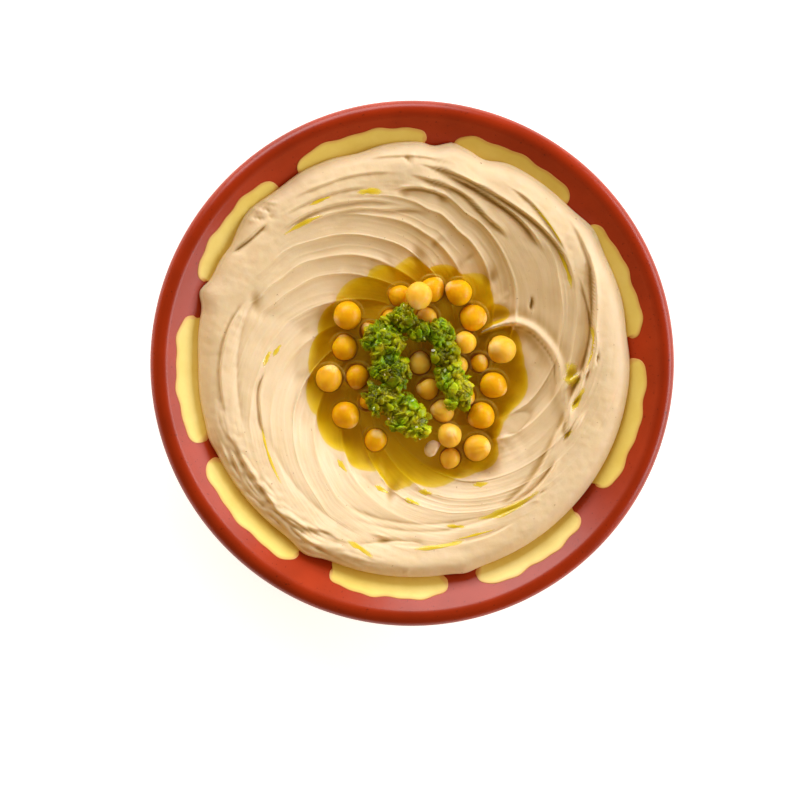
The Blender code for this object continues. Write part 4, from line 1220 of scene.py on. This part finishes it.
def sheet_faces(rows, columns):
    """Faces of a closed sheet: upper cells, lower cells turned over, and the border strip."""
    index = np.arange(rows * columns).reshape(rows, columns)
    cells = np.stack([index[:-1, :-1], index[1:, :-1], index[1:, 1:], index[:-1, 1:]], axis=-1).reshape(-1, 4)
    border = np.concatenate([index[:, 0], index[-1, 1:], index[-2::-1, -1], index[0, -2:0:-1]])
    after = np.roll(border, -1)
    strip = np.stack([border, border + rows * columns, after + rows * columns, after], axis=-1)
    return np.concatenate([cells, cells[:, ::-1] + rows * columns, strip])


leaf = green_material("relish_leaf", (76, 92, 0), (132, 148, 0), (184, 196, 24), 0.3, 500.0)
rng = np.random.default_rng(11)
places, outward = spots_on_heap(rng, 440, -0.06)
shreds_made = len(places)
places = places + outward * rng.uniform(-0.45, 0.0, shreds_made)[:, None]
lengths = 0.8 + 1.8 * rng.uniform(0.0, 1.0, shreds_made) ** 1.6
sizes = np.stack([lengths, lengths * rng.uniform(0.6, 1.2, shreds_made), lengths * rng.uniform(0.3, 0.9, shreds_made)], -1)
tones = np.clip(0.52 + 0.3 * patches_of_tone(places[:, 0], places[:, 1]) + rng.normal(0, 0.07, shreds_made), 0, 1)
shreds = scatter("relish_shreds", shred_shape(), sheet_faces(7, 5), places, outward, sizes,
                 rng.uniform(0, 2 * math.pi, shreds_made), leaf, tones, 0.14, rng)
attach(shreds, "root")


def pebble(rows, around, power, dents, seed):
    """A small ball, squared off by a power below 1 and dented, with single points for poles: points and faces."""
    lift = np.linspace(-math.pi / 2, math.pi / 2, rows)[:, None]
    turn = np.arange(around)[None, :] * 2 * math.pi / around + 0.3
    ball = np.stack(np.broadcast_arrays(np.cos(lift) * np.cos(turn), np.cos(lift) * np.sin(turn), np.sin(lift)), -1)
    points = np.concatenate([ball[1:-1].reshape(-1, 3), [[0, 0, -1.0], [0, 0, 1.0]]])
    uneven = waves(np.random.default_rng(seed), points[:, 0] + points[:, 2], points[:, 1] - points[:, 2], 8, 1.5, 3.5)
    points = np.sign(points) * np.abs(points) ** power * (1.0 + dents * uneven)[:, None]
    count = (rows - 2) * around
    start, last = np.arange(around), count - around + np.arange(around)
    sides = ring_faces(rows - 2, around)
    bottom = np.stack([np.full(around, count), np.roll(start, -1), start], axis=-1)
    top = np.stack([np.full(around, count + 1), last, np.roll(last, -1)], axis=-1)
    return points, np.concatenate([sides[:, [0, 1, 2]], sides[:, [0, 2, 3]], bottom, top])


def bits(name, shape, count, low, high, material, tumble, lift, seed):
    """One kind of bit scattered over the heap: half length from low to high, flatter than long."""
    rng = np.random.default_rng(seed)
    places, outward = spots_on_heap(rng, count, 0.06)
    count = len(places)
    places = places + outward * rng.uniform(lift[0], lift[1], count)[:, None]
    lengths = low + (high - low) * rng.uniform(0.0, 1.0, count) ** 1.6
    sizes = np.stack([lengths, lengths * rng.uniform(0.5, 1.0, count), lengths * rng.uniform(0.3, 0.55, count)], -1)
    tones = np.clip(0.5 + 0.28 * patches_of_tone(places[:, 0], places[:, 1]) + rng.normal(0, 0.09, count), 0, 1)
    points, faces = pebble(*shape, seed)
    return scatter(name, points, faces, places, outward, sizes, rng.uniform(0, 6.28, count), material, tones, tumble, rng)


flesh = green_material("relish_flesh", (98, 108, 0), (150, 160, 0), (200, 206, 40), 0.2, 500.0)
pale_seed = green_material("relish_seed", (206, 206, 120), (232, 230, 168), (248, 246, 216), 0.2, 500.0)
chunks = [bits(f"chunk_{kind}", (10, 13, 0.8, 0.3), 130, 0.8, 2.2, flesh, 0.12, (-0.75, -0.2), 21 + kind)
          for kind in range(3)]
chunks = join(chunks, "relish_chunks")
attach(chunks, "root")
seeds = bits("relish_seeds", (7, 10, 1.0, 0.0), 20, 0.4, 1.0, pale_seed, 0.4, (0.1, 0.5), 26)
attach(seeds, "root")
